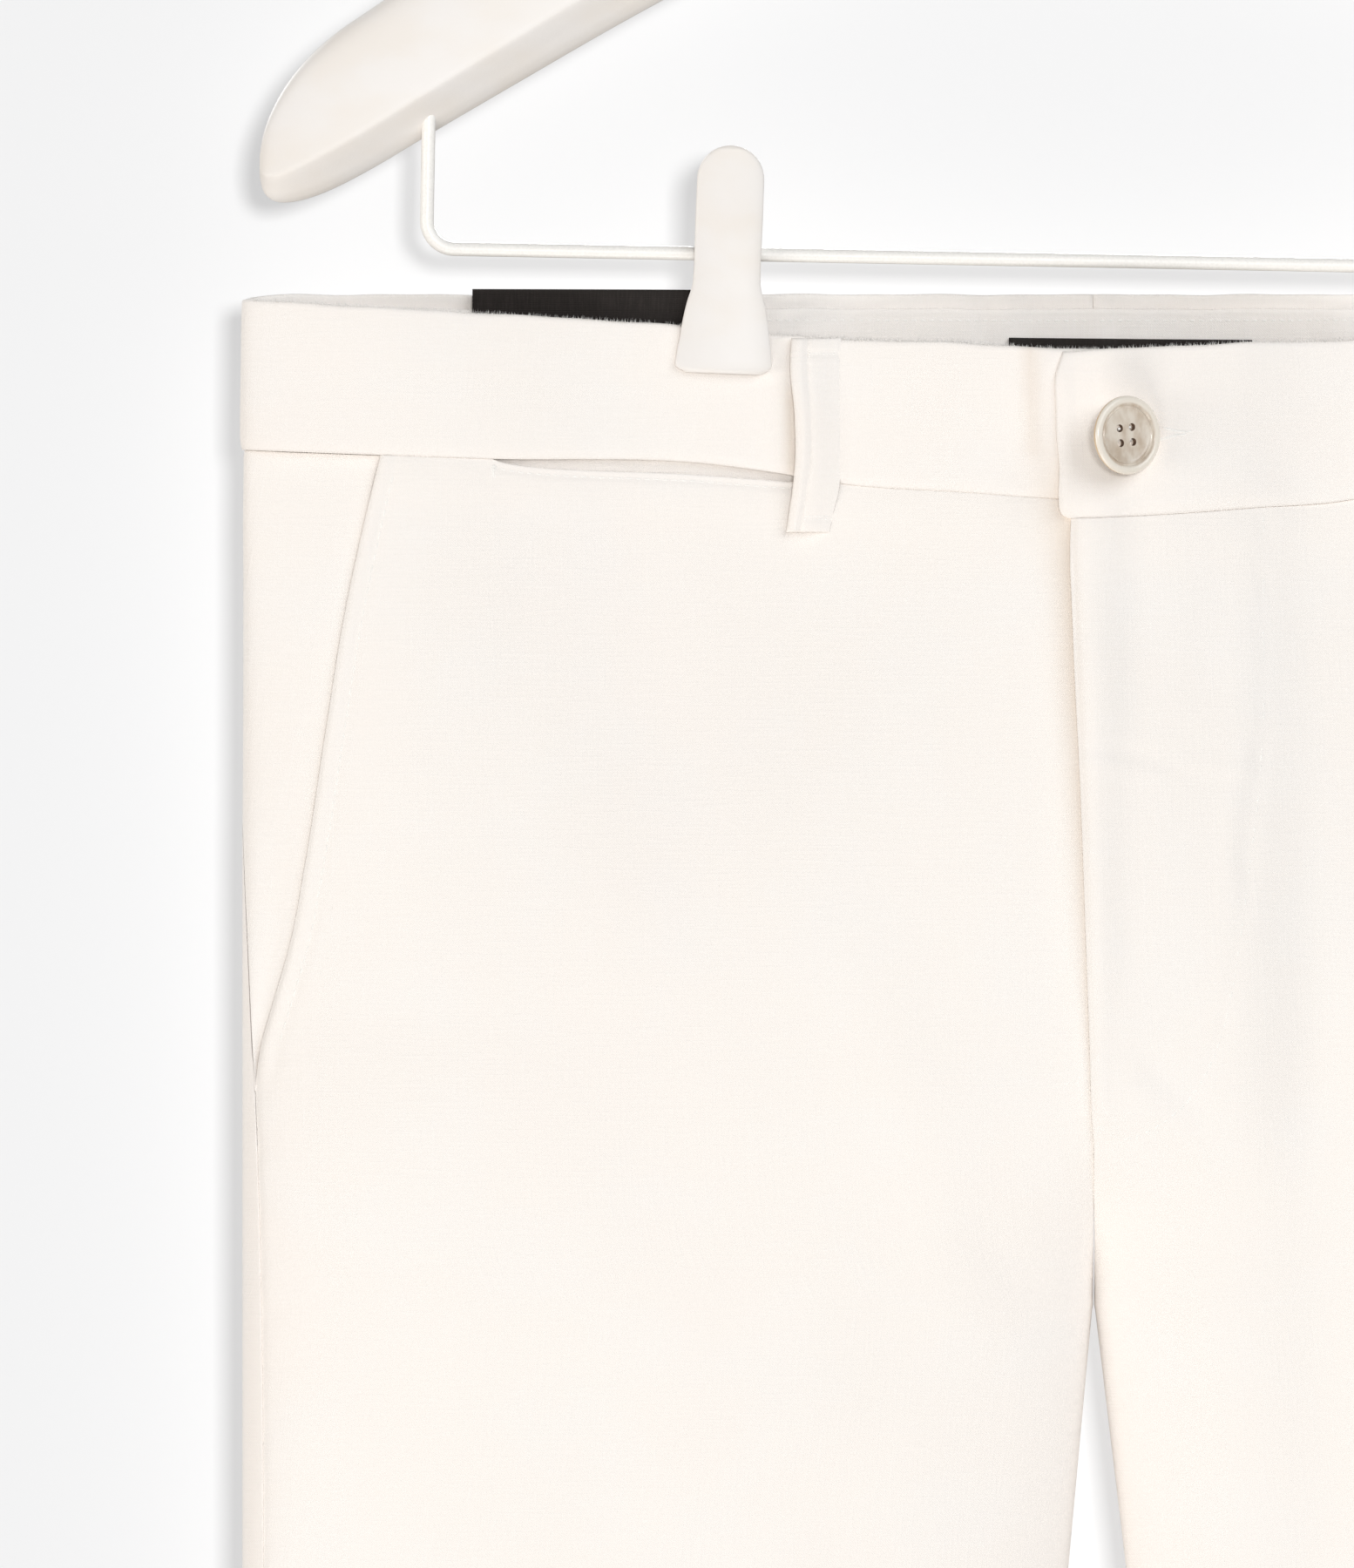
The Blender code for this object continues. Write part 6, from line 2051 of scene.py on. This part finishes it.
def make_sky(look):
    """Even light all round, and a paler sky where the camera looks past the stage."""
    world = bpy.data.worlds.new("studio_sky")
    world.use_nodes = True
    nodes, links = world.node_tree.nodes, world.node_tree.links
    background = nodes["Background"]
    background.inputs["Color"].default_value = SKY_COLOUR
    seen = nodes.new("ShaderNodeLightPath")
    strength = nodes.new("ShaderNodeMapRange")
    strength.inputs["To Min"].default_value = look.sky_light
    strength.inputs["To Max"].default_value = SKY_SEEN
    links.new(seen.outputs["Is Camera Ray"], strength.inputs["Value"])
    links.new(strength.outputs[0], background.inputs["Strength"])
    return world


def make_camera(look):
    """Square to the cloth, with a long lens whose frame is as high as the picture shows."""
    lens = bpy.data.cameras.new("photo_camera")
    lens.sensor_width = 36.0
    lens.lens = lens.sensor_width * look.distance / look.frame_height
    lens.clip_end = 100.0
    camera = bpy.data.objects.new("photo_camera", lens)
    bpy.context.scene.collection.objects.link(camera)
    camera.location = (PHOTO_MIDDLE[0], -look.distance - CLOTH_FRONT, PHOTO_MIDDLE[2])
    camera.rotation_euler = (math.pi / 2, 0.0, 0.0)
    return camera


class SHORTS_OT_studio(bpy.types.Operator):
    """Set up the pale backdrop and floor, the soft lights and the camera"""

    bl_idname = "shorts.studio"
    bl_label = "Studio"

    def execute(self, context):
        look = context.scene.shorts_studio
        stage = make_stage(look)
        receivers = {
            "lit": None,
            "spared": stage_collection("stage_without_side_light", stage, "EXCLUDE"),
            "alone": stage_collection("stage_with_shadow_light", stage, "INCLUDE"),
        }
        for row in rows_of(LIGHTS):
            strength = getattr(look, row["strength"])
            linked = receivers[row["stage"]]
            area_light(row["name"], row["offset"], row["size"], strength, row["colour"], linked)
        context.scene.world = make_sky(look)
        context.scene.view_settings.view_transform = "Standard"
        context.scene.camera = make_camera(look)
        return {"FINISHED"}


OPERATORS = (
    SHORTS_OT_panels,
    SHORTS_OT_pockets,
    SHORTS_OT_fly,
    SHORTS_OT_waistband,
    SHORTS_OT_belt_loops,
    SHORTS_OT_stitching,
    SHORTS_OT_button,
    SHORTS_OT_hanger,
    SHORTS_OT_clips,
    SHORTS_OT_studio,
)
GROUPS = {"shorts_cloth": ShortsCloth, "shorts_trim": ShortsTrim, "shorts_studio": ShortsStudio}


class SHORTS_PT_sidebar(bpy.types.Panel):
    """The shorts' settings, and a button for each piece"""

    bl_idname = "SHORTS_PT_sidebar"
    bl_label = "Linen Shorts"
    bl_space_type = "VIEW_3D"
    bl_region_type = "UI"
    bl_category = "Shorts"

    def draw(self, context):
        for name, group in GROUPS.items():
            box = self.layout.box()
            for key in group.__annotations__:
                box.prop(getattr(context.scene, name), key)
        for operator in OPERATORS:
            self.layout.operator(operator.bl_idname)


CLASSES = (*GROUPS.values(), *OPERATORS, SHORTS_PT_sidebar)


def register():
    for made in CLASSES:
        bpy.utils.register_class(made)
    for name, group in GROUPS.items():
        setattr(bpy.types.Scene, name, bpy.props.PointerProperty(type=group))


def unregister():
    for name in GROUPS:
        delattr(bpy.types.Scene, name)
    for made in reversed(CLASSES):
        bpy.utils.unregister_class(made)


def main():
    """Register the classes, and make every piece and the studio."""
    register()
    for operator in OPERATORS:
        group, name = operator.bl_idname.split(".")
        getattr(getattr(bpy.ops, group), name)()


if __name__ == "__main__":
    main()
